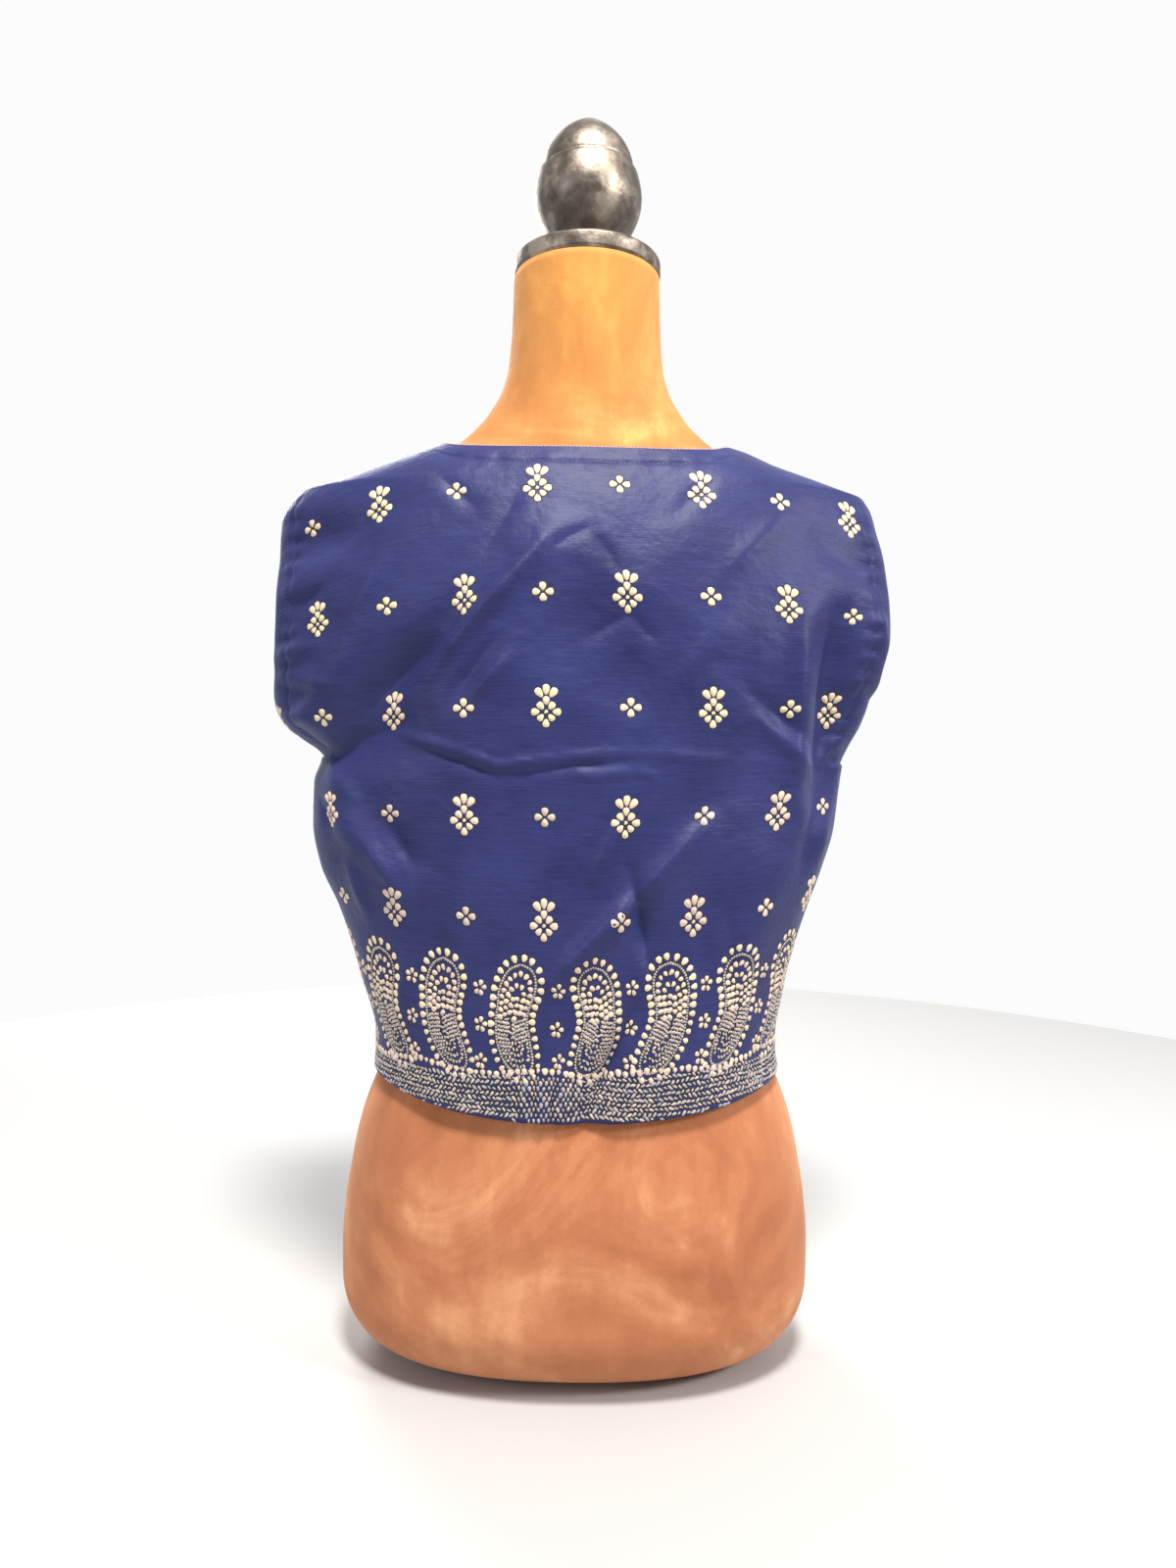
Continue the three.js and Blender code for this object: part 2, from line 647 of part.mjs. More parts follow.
// Columns between the two neck points, and rows within the neck turning.
function neckFacing(name, grid) {
  const middle = Math.round(columnsOf(grid.half) / 2);
  const columns = rangeWhere(grid.points[ROWS], (point) => Math.abs(point.x) < NECK_POINT);
  const centreLine = grid.points.map((line) => line[middle]);
  const lowest = centreLine[ROWS].z - NECK_TURNING;
  const rows = rangeWhere(centreLine, (point) => point.z > lowest);
  return facing(name, grid, [rows[0] - 1, ROWS], columns);
}

// The outermost columns of a sleeve, from just over the underarm to just under the tip.
function sleeveFacing(name, grid, side) {
  const edge = side > 0 ? columnsOf(grid.half) : 0;
  const sleeveEdge = grid.points.map((line) => line[edge]);
  const rows = rangeWhere(sleeveEdge, (point) => sleeveOpenness(point.z) > OPENING_START);
  const columns = side > 0 ? [edge - FACING_COLUMNS, edge] : [0, FACING_COLUMNS];
  return facing(name, grid, rows, columns);
}

// ---------------------------------------------------------------- assembly

const dressForm = new THREE.Group();
dressForm.add(formTorso(), capPlate(), capFinial());

const backGrid = clothGrid(BACK_HALF);
const frontGrid = clothGrid(FRONT_HALF);
const garment = new THREE.Group();
garment.add(
  panel('back_panel', backGrid),
  panel('front_panel', frontGrid),
  neckFacing('neck_facing_back', backGrid),
  neckFacing('neck_facing_front', frontGrid),
  sleeveFacing('sleeve_facing_left_back', backGrid, 1),
  sleeveFacing('sleeve_facing_right_back', backGrid, -1),
  sleeveFacing('sleeve_facing_left_front', frontGrid, 1),
  sleeveFacing('sleeve_facing_right_front', frontGrid, -1),
);

const cropTopOnForm = new THREE.Group();
cropTopOnForm.add(dressForm, garment);

export default cropTopOnForm;
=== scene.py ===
"""A boxy brocade crop top on a limbless dress form: the finished surfaces.

The cloth surface is worked out in millimetres, in the model's frame: +Z up, the garment's
back towards +Y, the wearer's left at +X. Every finished mesh is in metres.
"""

import math

import bmesh
import bpy
import numpy as np
from mathutils import Matrix, Vector


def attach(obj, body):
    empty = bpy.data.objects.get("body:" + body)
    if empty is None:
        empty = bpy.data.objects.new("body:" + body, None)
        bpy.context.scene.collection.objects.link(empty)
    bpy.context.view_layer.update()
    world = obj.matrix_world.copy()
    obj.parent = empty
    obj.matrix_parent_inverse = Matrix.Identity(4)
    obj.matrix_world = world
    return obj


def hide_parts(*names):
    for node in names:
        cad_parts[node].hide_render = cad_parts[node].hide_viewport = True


MM = 0.001

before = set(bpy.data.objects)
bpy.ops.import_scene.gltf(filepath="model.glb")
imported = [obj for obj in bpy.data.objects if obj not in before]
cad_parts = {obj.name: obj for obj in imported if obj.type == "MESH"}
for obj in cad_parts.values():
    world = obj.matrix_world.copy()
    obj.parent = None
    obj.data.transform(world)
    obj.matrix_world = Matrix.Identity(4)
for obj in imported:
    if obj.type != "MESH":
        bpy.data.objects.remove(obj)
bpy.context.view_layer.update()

# ------------------------------------------------------------------ sizes of the dress form

BOTTOM_EDGE_RADIUS = 56.0
NECK_TOP = 774.0

# height; half width; depth behind and before the seam plane; squareness of the section
FORM_COLUMNS = ("z", "side", "back", "front", "square")
FORM_SECTIONS = (
    (0, 167.5, 104, 98, 2.3),
    (82, 168.6, 105, 99, 2.3),
    (110, 166.5, 104.5, 98, 2.3),
    (133, 163, 103, 96, 2.3),
    (162, 157.5, 98.5, 93, 2.3),
    (191, 148, 93.5, 89, 2.3),
    (207, 140, 91, 87, 2.3),
    (225, 133, 88, 85, 2.3),
    (268, 119, 83, 83, 2.3),
    (320, 127, 83, 90, 2.3),
    (380, 143, 86, 101, 2.3),
    (430, 152, 88, 106, 2.3),
    (480, 159, 90, 100, 2.3),
    (530, 168, 90, 88, 2.3),
    (565, 172.5, 86, 77, 2.25),
    (589, 174, 79, 69, 2.2),
    (606.6, 172.5, 72.5, 61.5, 2.2),
    (617.1, 168, 67.5, 56.5, 2.2),
    (625.1, 159.5, 63.5, 53, 2.2),
    (631.1, 146.5, 61, 51, 2.15),
    (638.1, 126, 58.5, 49.5, 2.1),
    (644.6, 106, 57, 48.5, 2.05),
    (648, 98, 56, 48, 2),
    (653, 91, 55.5, 48.5, 2),
    (659, 84, 55, 49, 2),
    (667, 76, 54.5, 49.5, 2),
    (675, 70, 54, 50.5, 2),
    (690, 61.5, 53, 51.5, 2),
    (708, 56.5, 53, 52.5, 2),
    (738, 54, 53, 53, 2),
    (NECK_TOP, 53, 53, 53, 2),
)

CAP_GAP = 0.3
CAP_RADIUS = 53.5
CAP_THICKNESS = 13.0
CAP_EDGE_RADIUS = 3.0
CAP_DOME_RISE = 3.0
CAP_SHOULDER_RADIUS = 40.0
CAP_SHOULDER_RISE = 1.2
# height above the finial's foot, radius
FINIAL_PROFILE = (
    (0, 24),
    (4, 26.5),
    (8, 26),
    (13, 28),
    (19, 31.5),
    (26, 35.2),
    (34, 38.2),
    (42, 39.3),
    (49, 38.8),
    (56, 37.3),
    (60.5, 35.8),
    (63, 33.2),
    (66, 33),
    (73, 31.2),
    (80, 27.8),
    (87, 22.4),
    (93.5, 15),
    (98, 8),
)
FINIAL_HEIGHT = 100.0

# ------------------------------------------------------------------ sizes of the garment

SEAM_GAP = 0.3
LAYER_GAP = 0.3
CLOTH_ROOM = 1.2
FACING_ROOM = 2.1
OUTER_FACE = 1.4
CLOTH = 0.9
FACING_CLOTH = 0.7
FACING_SLACK = 0.2
FACING_ROLL = 0.9
FACING_START = 0.12

UNDERARM = 424.0
SHOULDER_TIP = 612.0
SHOULDER_SLOPE = 0.34
OUTLINE_COLUMNS = ("z", "left", "right")
OUTLINE = (
    (206, 145.5, 144.5),
    (219, 144.5, 142.5),
    (234, 145, 142.5),
    (253, 150, 146),
    (267, 155, 148.5),
    (292, 162.5, 154.5),
    (320, 173, 163.5),
    (349, 186.5, 174),
    (378, 192, 182.5),
    (407, 191.5, 186),
    (UNDERARM, 186.5, 188.5),
    (437, 198, 192.5),
    (450, 212.5, 198),
    (465, 217.5, 202.5),
    (485, 215, 209.5),
    (522, 213.5, 213.5),
    (566, 214.5, 211.5),
    (590, 215, 208),
    (603, 211.5, 206),
    (SHOULDER_TIP, 205, 202),
)
DRAPE_COLUMNS = ("z", "back", "front")
DRAPE = (
    (185, 100, 101),
    (240, 98.5, 104),
    (300, 97.5, 108),
    (380, 97.5, 112),
    (440, 98.5, 113),
    (490, 98.5, 108),
    (530, 96, 98),
    (565, 91, 86),
    (595, 82, 74.5),
    (615, 74, 64),
    (630, 66.5, 56.5),
    (640, 62, 52.5),
    (660, 59, 51),
)
BODY_SQUARE = 2.35
SLEEVE_SQUARE = 0.8
HEM_SIDE = 206.0
NECK_POINT = 108.0
NECK_CORNER_LIFT = 2.4
CORNER_START = 0.8
CORNER_PEAK = 0.95
BOTTOM_TURNING = 26.0
SLEEVE_TURNING = 12.5
NECK_TURNING = 12.0
OPENING_ROUNDNESS = 0.85
NECK_ROOM_FULL = 1.6 * NECK_TURNING
NECK_ROOM_END = 3.2 * NECK_TURNING
NECK_ROOM_REACH = 1.3 * NECK_POINT
FOLD_FADE_START = 0.93
SLEEVE_FOLD_SHARE = 0.95
FOLD_END_SHARE = 0.35
FOLD_LEAN_POWER = 4
CREASE_RISE = 1.85
CREASE_KEENNESS = 1.6
CREASE_FADE_START = 0.9
TOP_FADE_START = 0.985

# Long waves in the hanging cloth: height, run across, run up, and start by which half it is.
SOFT_WAVES = (
    (0.55, 19.0, 47.0, 1),
    (0.5, 31.0, -23.0, 2),
    (0.3, 9.5, 13.0, 3),
    (0.25, -17.0, 8.0, 1),
)
SOFT_WAVE_START = 0.7

# Along the turnings: the groove the stitching draws, and the gathers beside it, as rise and reach.
SLEEVE_GROOVE = (-0.9, 1.6)
NECK_GROOVE = (-0.8, 1.6)
BOTTOM_GROOVE = (-0.5, 1.8)
SLEEVE_GATHERS = (0.8, 7.0)
NECK_GATHERS = (0.3, 6.0)
GATHERS_OPEN = 0.3
# The gathers' step, how far it wanders, and over what length.
SLEEVE_GATHER_WAVE = (2.3, 0.8, 9.0)
NECK_GATHER_WAVE = (3.1, 1.0, 11.0)

# Folds and creases: both ends (x, z), half width and height; a height below 0 is a trough.
# The large ones are the solid's own.
BACK_FOLDS = (
    (18, 573, 116, 462, 13, 5),
    (88, 505, 172, 434, 20, -9),
    (150, 500, 196, 440, 14, 4),
    (152, 582, 208, 562, 15, -7),
    (212, 461, 176, 470, 11, -5),
    (-150, 580, -200, 556, 14, -4),
    (-180, 522, -172, 392, 13, -10),
    (-152, 520, -146, 380, 11, 4),
    (168, 392, 118, 334, 13, 5),
    (150, 398, 96, 350, 13, -3),
    (-94, 392, 12, 282, 13, 5.5),
    (-32, 362, -48, 286, 10, -4),
    (-40, 266, -6, 184, 10, -5),
    (-128, 372, -104, 262, 14, 3.5),
)
BACK_CREASES = (
    (26, 564, 112, 466, 5, 3.3),
    (47, 490, 68, 464, 4, 2.2),
    (58, 498, 84, 462, 5, -2),
    (23, 560, -5, 576, 4.5, -1.1),
    (-5, 573, -22, 550, 4.5, -1),
    (-5, 503, -30, 519, 4, -1.1),
    (-30, 519, -47, 502, 4, -0.9),
    (120, 440, 96, 434, 2.6, 1.3),
    (100, 435, 76, 428, 2.6, 1.5),
    (76, 428, 52, 419.5, 2.6, 1.6),
    (54, 419.5, 18, 424, 2.6, 1.5),
    (20, 424, -34, 429.5, 2.6, 1.2),
    (-30, 429, -92, 426, 2.6, 0.8),
    (98, 429, 54, 414, 3.4, -1.2),
    (50, 414, -30, 424, 3.4, -1),
    (7, 416, -10, 413.5, 2.4, 1.1),
    (-10, 413.5, -38, 417, 2.4, 1.1),
    (-38, 417, -50, 413.5, 2.4, 0.9),
    (140, 368, 120, 340, 5, 2),
    (124, 378, 108, 352, 5, -1.6),
    (154, 352, 142, 318, 5, 2),
    (-86, 388, 6, 290, 4.5, 2.4),
    (-20, 322, 14, 282, 5, 1.6),
    (-34, 352, -46, 290, 4, -2),
    (-24, 382, -10, 346, 4, 1.8),
    (-38, 264, -5, 192, 4, -2.2),
    (-26, 268, 6, 198, 5, 1.4),
    (30, 232, 34, 190, 2.6, 0.9),
    (20, 230, 23, 189, 2.6, 0.9),
    (8, 228, 11, 189, 2.6, 1),
    (25, 226, 28, 190, 2.2, -0.9),
    (14, 226, 16, 189, 2.2, -0.9),
    (64, 302, 60, 244, 6, 1.2),
    (88, 320, 92, 262, 6, -1.3),
    (112, 300, 118, 250, 5, 1.3),
    (-72, 300, -78, 246, 6, 1.2),
    (-98, 330, -104, 270, 6, -1.4),
    (-60, 470, -96, 520, 8, 1.6),
    (-92, 545, -132, 588, 8, 1.5),
    (-110, 470, -150, 440, 7, -2),
    (-118, 452, -156, 418, 6, 1.8),
    (-84, 610, -60, 586, 5, -1),
    (96, 612, 70, 588, 5, -1.1),
    (40, 604, 62, 560, 6, -1.2),
    (128, 560, 150, 520, 8, 1.8),
    (172, 540, 204, 520, 7, -2),
    (178, 500, 214, 492, 6, 1.8),
    (160, 470, 205, 480, 5, 1.2),
    (196, 448, 180, 430, 5, -2),
    (176, 418, 150, 396, 7, 2.2),
    (186, 404, 168, 372, 6, -2),
    (-196, 540, -214, 500, 6, 1.6),
    (-198, 478, -214, 462, 5, -2),
    (-186, 446, -170, 424, 5, 2),
    (-166, 500, -160, 452, 5, -2),
    (-164, 400, -150, 350, 7, -2.4),
    (-176, 396, -162, 340, 6, 2),
    (66, 520, 150, 452, 15, -4.2),
    (106, 452, 176, 424, 14, -5),
    (-172, 520, -160, 400, 11, -5),
    (-146, 520, -142, 400, 7, 2.2),
    (136, 590, 176, 560, 10, -1.8),
    (-60, 380, -130, 420, 22, -1.6),
    (20, 520, -60, 470, 26, -1.6),
)
FRONT_FOLDS = (
    (78, 452, 168, 448, 15, -7),
    (-80, 456, -166, 440, 15, -8),
    (150, 578, 208, 552, 16, -6),
    (-148, 580, -202, 556, 15, -5),
    (86, 410, 64, 196, 17, 5),
    (-82, 404, -92, 204, 16, 4.5),
    (8, 400, -10, 186, 18, -4),
    (160, 380, 112, 270, 13, 4),
    (-156, 372, -118, 286, 13, 4),
)
FRONT_CREASES = (
    (92, 470, 164, 462, 5, 2.2),
    (84, 436, 150, 424, 5, 1.8),
    (-90, 474, -162, 458, 5, 2.2),
    (-86, 434, -146, 416, 5, 1.6),
    (60, 540, 120, 500, 8, 1.8),
    (-56, 545, -124, 506, 8, 1.6),
    (40, 428, -46, 425, 2.6, 1.1),
    (46, 420, -30, 417, 3.4, -0.9),
    (96, 380, 78, 240, 5, 1.8),
    (40, 370, 44, 230, 6, 1.6),
    (52, 330, 58, 200, 6, -1.6),
    (-44, 360, -56, 224, 6, 1.5),
    (-70, 340, -74, 204, 6, -1.7),
    (-104, 380, -96, 250, 5, 1.8),
    (20, 320, 12, 196, 5, 1.3),
    (-16, 330, -24, 200, 5, 1.2),
    (146, 366, 116, 290, 4.5, 2),
    (-142, 352, -118, 300, 4.5, 2),
    (176, 540, 208, 520, 7, -2),
    (-174, 544, -206, 516, 7, -2.2),
    (170, 500, 214, 490, 6, 1.8),
    (-176, 500, -212, 488, 6, 1.6),
    (186, 446, 170, 420, 5, 2),
    (-186, 446, -168, 418, 5, 2),
)

# The pale facing is rolled just over the neck edge, this far down its outer face.
FACING_EDGE = 0.6

STITCH_PITCH = 3.2
STITCH_SHARE = 0.62
STITCH_WIDTH = 0.75
STITCH_RISE = 0.3
EDGE_PITCH = 2.4
EDGE_SHARE = 1.1
STITCHED_OPEN = 0.22

# Columns and rows of cloth squares in each panel's mesh.
ROWS = 216
BACK_NECK_COLUMNS = 112
BACK_SHOULDER_COLUMNS = 54
FRONT_NECK_COLUMNS = 100
FRONT_SHOULDER_COLUMNS = 48
ROW_CROWDING = 1.45
EDGE_CROWDING = 0.4

# Seating a flat point on the cloth: rounds of search, longest stride in squares, and the miss
# in millimetres past which the point is off the panel.
SEAT_ROUNDS = 8
SEAT_STRIDE = 6
SEAT_MISS = 0.3

BACK = {
    "name": "back",
    "facing": 1,
    "neck_columns": BACK_NECK_COLUMNS,
    "shoulder_columns": BACK_SHOULDER_COLUMNS,
    "neck_crowding": 0.2,
    "neck_drop": 9.8,
    "neck_power": 4.4,
    "corner_share": 1.0,
    "hem": 189.0,
    "sleeve_open": 38.0,
    "folds": BACK_FOLDS,
    "creases": BACK_CREASES,
}
FRONT = {
    "name": "front",
    "facing": -1,
    "neck_columns": FRONT_NECK_COLUMNS,
    "shoulder_columns": FRONT_SHOULDER_COLUMNS,
    "neck_crowding": 1.0,
    "neck_drop": 78.0,
    "neck_power": 2.4,
    "corner_share": 0.0,
    "hem": 191.0,
    "sleeve_open": 45.0,
    "folds": FRONT_FOLDS,
    "creases": FRONT_CREASES,
}

# ------------------------------------------------------------------ woven pattern, flat cloth

# Sprigs stand in rows, large and small by turns, each row half a step on from the last.
SPRIG_STEP = 54.4
SPRIG_START = 22.0
SPRIG_ROWS = (317.0, 384.0, 455.0, 529.5, 603.0)

# How the weave hangs off square: its sag by the sides, its drift to the left, and the share
# of its width that is left where small gathers take it up.
GRAIN_REACH = 187.0
GRAIN_MIDDLE = 22.0
GRAIN_COLUMNS = ("z", "left", "right", "drift", "width")
GRAIN = (
    (190, -4, -8, 0, 0.895),
    (240, -4, -16, 0, 0.895),
    (280, -8, -19, 0, 0.90),
    (317, -14, -20, 0, 0.94),
    (384, -2, -10, 0, 0.965),
    (455, 8, -4, 0, 1),
    (529, 20, 9, 3, 1),
    (603, 26, 16.5, 8.5, 1),
    (650, 30, 20, 10, 1),
)

# Rows of cloth squares over which the weave evens out the pull of a short crease.
WEAVE_CALM_ROWS = 22

# One leaf: middle (x, y), length, width, and turn in degrees; its tip points to -y at turn 0.
LARGE_SPRIG = (
    (0, 13.9, 7.5, 4.7, 0),
    (4.5, 11.9, 7.6, 4.9, -35),
    (-4.5, 11.9, 7.6, 4.9, 35),
    (0, 6.9, 6.0, 4.5, 0),
    (3.5, 3.4, 6.0, 4.7, -37),
    (-3.5, 3.4, 6.0, 4.7, 37),
    (6.9, -0.4, 6.0, 4.9, -92),
    (-6.9, -0.4, 6.0, 4.9, 92),
    (0, -0.4, 3.0, 2.4, 45),
    (3.4, -4.0, 5.5, 4.2, -140),
    (-3.4, -4.0, 5.5, 4.2, 140),
    (0, -7.6, 5.9, 4.6, 180),
)
SMALL_SPRIG = (
    (0, 6.3, 6.0, 4.8, 0),
    (4.3, 2.8, 5.8, 4.7, -90),
    (-4.3, 2.8, 5.8, 4.7, 90),
    (0, -0.8, 5.7, 4.8, 180),
)

# Paisleys stand on the hem band, one under each column of sprigs.
PAISLEY_START = -14.5
PAISLEY_FOOT = 219.0
PAISLEY_HEIGHT = 74.0
PAISLEY_LEAF_STEP = 5.5
PAISLEY_TAIL = 5.0
PAISLEY_TAIL_SHIFT = -0.2
PAISLEY_TAIL_MOST = 17.0
PAISLEY_SETBACK = 0.35
# height up the paisley, bend of its middle line away from the tail, half width inside the leaves
PAISLEY_COLUMNS = ("z", "bend", "half")
PAISLEY_SHAPE = (
    (0, 0, 0.5),
    (1.3, 0, 5.8),
    (5.4, -0.8, 10.2),
    (13, -2.4, 12.6),
    (24, -4.4, 13.2),
    (35, -5.0, 12.2),
    (46, -2.8, 12.6),
    (56, 0.0, 14.2),
    (64, 1.8, 12.8),
    (71, 2.8, 8.0),
    (74, 3.0, 0.5),
)
PAISLEY_LEAN = 1.9
PAISLEY_LEAF = (5.6, 4.4)
PAISLEY_LEAF_OUT = 2.7
PAISLEY_HEAD_START = 0.5
# Rings of stitches inside a paisley: shares of the way out, step, size, tones and skew of a leaf.
CORD_RING = ((0.92,), 1.9, (2.1, 1.7), (0.8, 0.95), 0)
HEAD_RINGS = ((0.7, 0.42, 0.14), 4.3, (4.5, 3.3), (0.25, 0.7), 24)
BODY_RINGS = ((0.76, 0.62, 0.48, 0.34, 0.2, 0.07), 2.6, (2.9, 1.7), (0.6, 1.0), 38)
# Bare slits in the stitched body: place across, from height, to height.
PAISLEY_SLITS = (
    (4.2, 6, 22),
    (-6.4, 22, 37),
)
PAISLEY_SLIT_HALF = 0.8

ROSETTE_HEIGHTS = (229.0, 251.0, 276.0)
ROSETTE_SETBACK = 0.2
ROSETTE_LEAVES = 5
ROSETTE_RADIUS = 3.3
ROSETTE_LEAF = (4.2, 3.2)

HEM_BAND_TOP = 219.5
HEM_BAND_FOOT = 190.0
HEM_BAND_REACH = 245.0
HEM_BAND_STEP = 3.7
HEM_BAND_ROW = 3.2
HEM_BAND_SLANT = 58
SLANT_STITCH = (4.3, 1.8)
CENTRE_STITCH = (3.5, 2.1)
CENTRE_BEADS = (-8.0, 42.0)
TOP_BEAD = (4.5, 4.1)
TOP_BEAD_STEP = 5.2
TOP_BEAD_LIFT = 1.8

LEAF_RISE = 0.48
OUTLINE_RISE = 0.12
SPRIG_OUTLINE = 2.0
BORDER_OUTLINE = 1.9
LEAF_TAPER = 0.32

# ------------------------------------------------------------------ small helpers


def column_of(table, names, name):
    return np.array([row[names.index(name)] for row in table], float)


def fair(table, names, name, z):
    """A smooth curve through one column of a table, held back so that it never overshoots."""
    heights = column_of(table, names, "z")
    values = column_of(table, names, name)
    steps = np.diff(values) / np.diff(heights)
    slopes = np.empty_like(values)
    slopes[0], slopes[-1] = steps[0], steps[-1]
    before, after = steps[:-1], steps[1:]
    total = np.where(before * after > 0, before + after, 1.0)
    slopes[1:-1] = np.where(before * after > 0, 2 * before * after / total, 0.0)
    z = np.clip(z, heights[0], heights[-1])
    row = np.clip(np.searchsorted(heights, z, side="right") - 1, 0, len(heights) - 2)
    span = heights[row + 1] - heights[row]
    t = (z - heights[row]) / span
    start, end = slopes[row] * span, slopes[row + 1] * span
    rise = values[row + 1] - values[row]
    return values[row] + t * (start + t * (3 * rise - 2 * start - end + t * (start + end - 2 * rise)))


def mix(a, b, share):
    return a + (b - a) * share


def smooth_step(low, high, value):
    share = np.clip((value - low) / (high - low), 0, 1)
    return share * share * (3 - 2 * share)


def unit(vectors):
    return vectors / np.maximum(np.linalg.norm(vectors, axis=-1, keepdims=True), 1e-9)


def stray(chance, spread):
    """A chance shift to either side, within the spread from end to end."""
    return spread * (chance.random() - 0.5)


def mesh_object(name, bm, material, smooth=True):
    """A finished piece from a bmesh whose points are in millimetres."""
    bmesh.ops.scale(bm, vec=(MM, MM, MM), verts=bm.verts)
    mesh = bpy.data.meshes.new(name)
    bm.to_mesh(mesh)
    bm.free()
    mesh.materials.append(material)
    if smooth:
        mesh.shade_smooth()
    else:
        mesh.shade_flat()
    piece = bpy.data.objects.new(name, mesh)
    bpy.context.scene.collection.objects.link(piece)
    return piece


# ------------------------------------------------------------------ dress form surface


def form_section(z):
    over = np.clip(BOTTOM_EDGE_RADIUS - z, 0, BOTTOM_EDGE_RADIUS)
    inset = BOTTOM_EDGE_RADIUS - np.sqrt(BOTTOM_EDGE_RADIUS**2 - over**2)
    side = fair(FORM_SECTIONS, FORM_COLUMNS, "side", z) - inset
    back = fair(FORM_SECTIONS, FORM_COLUMNS, "back", z) - inset
    front = fair(FORM_SECTIONS, FORM_COLUMNS, "front", z) - inset
    return side, back, front, fair(FORM_SECTIONS, FORM_COLUMNS, "square", z)


def form_field(points):
    """0 on the form's surface and more outside it."""
    x, y, z = points[..., 0], points[..., 1], points[..., 2]
    side, back, front, square = form_section(z)
    depth = np.where(y > 0, back, front)
    return ((np.abs(x) / side) ** square + (np.abs(y) / depth) ** square) ** (1 / square) - 1


def clear_of_form(points, room):
    """Moves cloth points off the form until they have the room asked for."""
    probe = 0.5
    points = points.copy()
    for _ in range(6):
        slope = np.stack(
            [
                form_field(points + step) - form_field(points - step)
                for step in np.eye(3) * probe
            ],
            axis=-1,
        ) / (2 * probe)
        steepness = np.linalg.norm(slope, axis=-1)
        distance = form_field(points) / steepness
        push = np.maximum(room - distance, 0) / steepness
        points += slope * push[..., None]
    return points


# ------------------------------------------------------------------ cloth surface


def outline(z, x):
    left = fair(OUTLINE, OUTLINE_COLUMNS, "left", z)
    right = fair(OUTLINE, OUTLINE_COLUMNS, "right", z)
    half_width = np.where(x > 0, left, right)
    return half_width - np.maximum(z - SHOULDER_TIP, 0) / SHOULDER_SLOPE


def top_edge(x, half):
    """Height of the shoulder seam, or of the neckline between the two neck points."""
    across = np.abs(x)
    at_tip = np.full_like(x, SHOULDER_TIP)
    right_tip, left_tip = outline(at_tip, np.full_like(x, -1)), outline(at_tip, np.full_like(x, 1))
    tip = mix(right_tip, left_tip, smooth_step(-NECK_POINT, NECK_POINT, x))
    shoulder = SHOULDER_TIP + (tip - across) * SHOULDER_SLOPE
    neck_point = SHOULDER_TIP + (tip - NECK_POINT) * SHOULDER_SLOPE
    share = np.minimum(across / NECK_POINT, 1)
    rise = smooth_step(CORNER_START, CORNER_PEAK, share)
    corner = NECK_CORNER_LIFT * rise * smooth_step(1, CORNER_PEAK, share)
    drop = half["neck_drop"] * (1 - share ** half["neck_power"])
    neckline = neck_point - drop + corner * half["corner_share"]
    return np.where(across >= NECK_POINT, shoulder, neckline)


def hem_edge(share, half):
    return mix(half["hem"], HEM_SIDE, share**2)


def sleeve_openness(z):
    share = np.clip((z - UNDERARM) / (SHOULDER_TIP - UNDERARM), 0, 1)
    return np.maximum(np.sin(np.pi * share), 0) ** OPENING_ROUNDNESS


def cloth_depth(x, z, half):
    reach = outline(z, x)
    openness = sleeve_openness(z)
    edge = half["sleeve_open"] * openness
    share = np.clip(np.abs(x) / reach, 0, 1)
    power = mix(1 / BODY_SQUARE, SLEEVE_SQUARE, openness)
    middle = fair(DRAPE, DRAPE_COLUMNS, half["name"], z)
    return edge + (middle - edge) * (1 - share**BODY_SQUARE) ** power


def fold_height(x, z, folds, keenness):
    """Sum of soft ridges and troughs. Keenness 2 is a round fold, less is a sharper one."""
    height = np.zeros_like(x)
    for x0, z0, x1, z1, width, rise in folds:
        dx, dz = x1 - x0, z1 - z0
        along = np.clip(((x - x0) * dx + (z - z0) * dz) / (dx * dx + dz * dz), 0, 1)
        off = np.hypot(x - x0 - along * dx, z - z0 - along * dz) / width
        taper = mix(FOLD_END_SHARE, 1, np.sin(np.pi * along))
        height += rise * taper * np.exp(-(off**keenness))
    return height


def soft_waves(x, z, half):
    """The slight unevenness of hanging cloth, from a few long waves at odd angles."""
    start = SOFT_WAVE_START * half["facing"]
    return sum(rise * np.sin(x / across + z / up + turns * start) for rise, across, up, turns in SOFT_WAVES)


def ridge(distance, rise, reach):
    """A soft ridge along a line, or a groove where the rise is below 0."""
    return rise * np.exp(-((distance / reach) ** 2))


def gather_wave(run, step, wander, length):
    return np.sin(run / step + wander * np.sin(run / length))


def hem_puckers(x, z, half):
    """Grooves along the stitching of the turnings, and the small gathers beside them."""
    from_sleeve = outline(z, x) - np.abs(x) - SLEEVE_TURNING
    at_sleeve = smooth_step(0, GATHERS_OPEN, sleeve_openness(z))
    puckers = ridge(from_sleeve, *SLEEVE_GATHERS) * at_sleeve * gather_wave(z, *SLEEVE_GATHER_WAVE)
    groove = ridge(from_sleeve, *SLEEVE_GROOVE) * at_sleeve
    from_neck = top_edge(x, half) - z - NECK_TURNING
    at_neck = smooth_step(NECK_POINT + 2, NECK_POINT - 8, np.abs(x))
    puckers += ridge(from_neck, *NECK_GATHERS) * at_neck * gather_wave(x, *NECK_GATHER_WAVE)
    groove += ridge(from_neck, *NECK_GROOVE) * at_neck
    to_hem = z - hem_edge(np.clip(np.abs(x) / outline(z, x), 0, 1), half)
    return puckers + groove + ridge(to_hem - BOTTOM_TURNING, *BOTTOM_GROOVE)


def columns_of(half):
    return half["neck_columns"] + 2 * half["shoulder_columns"]


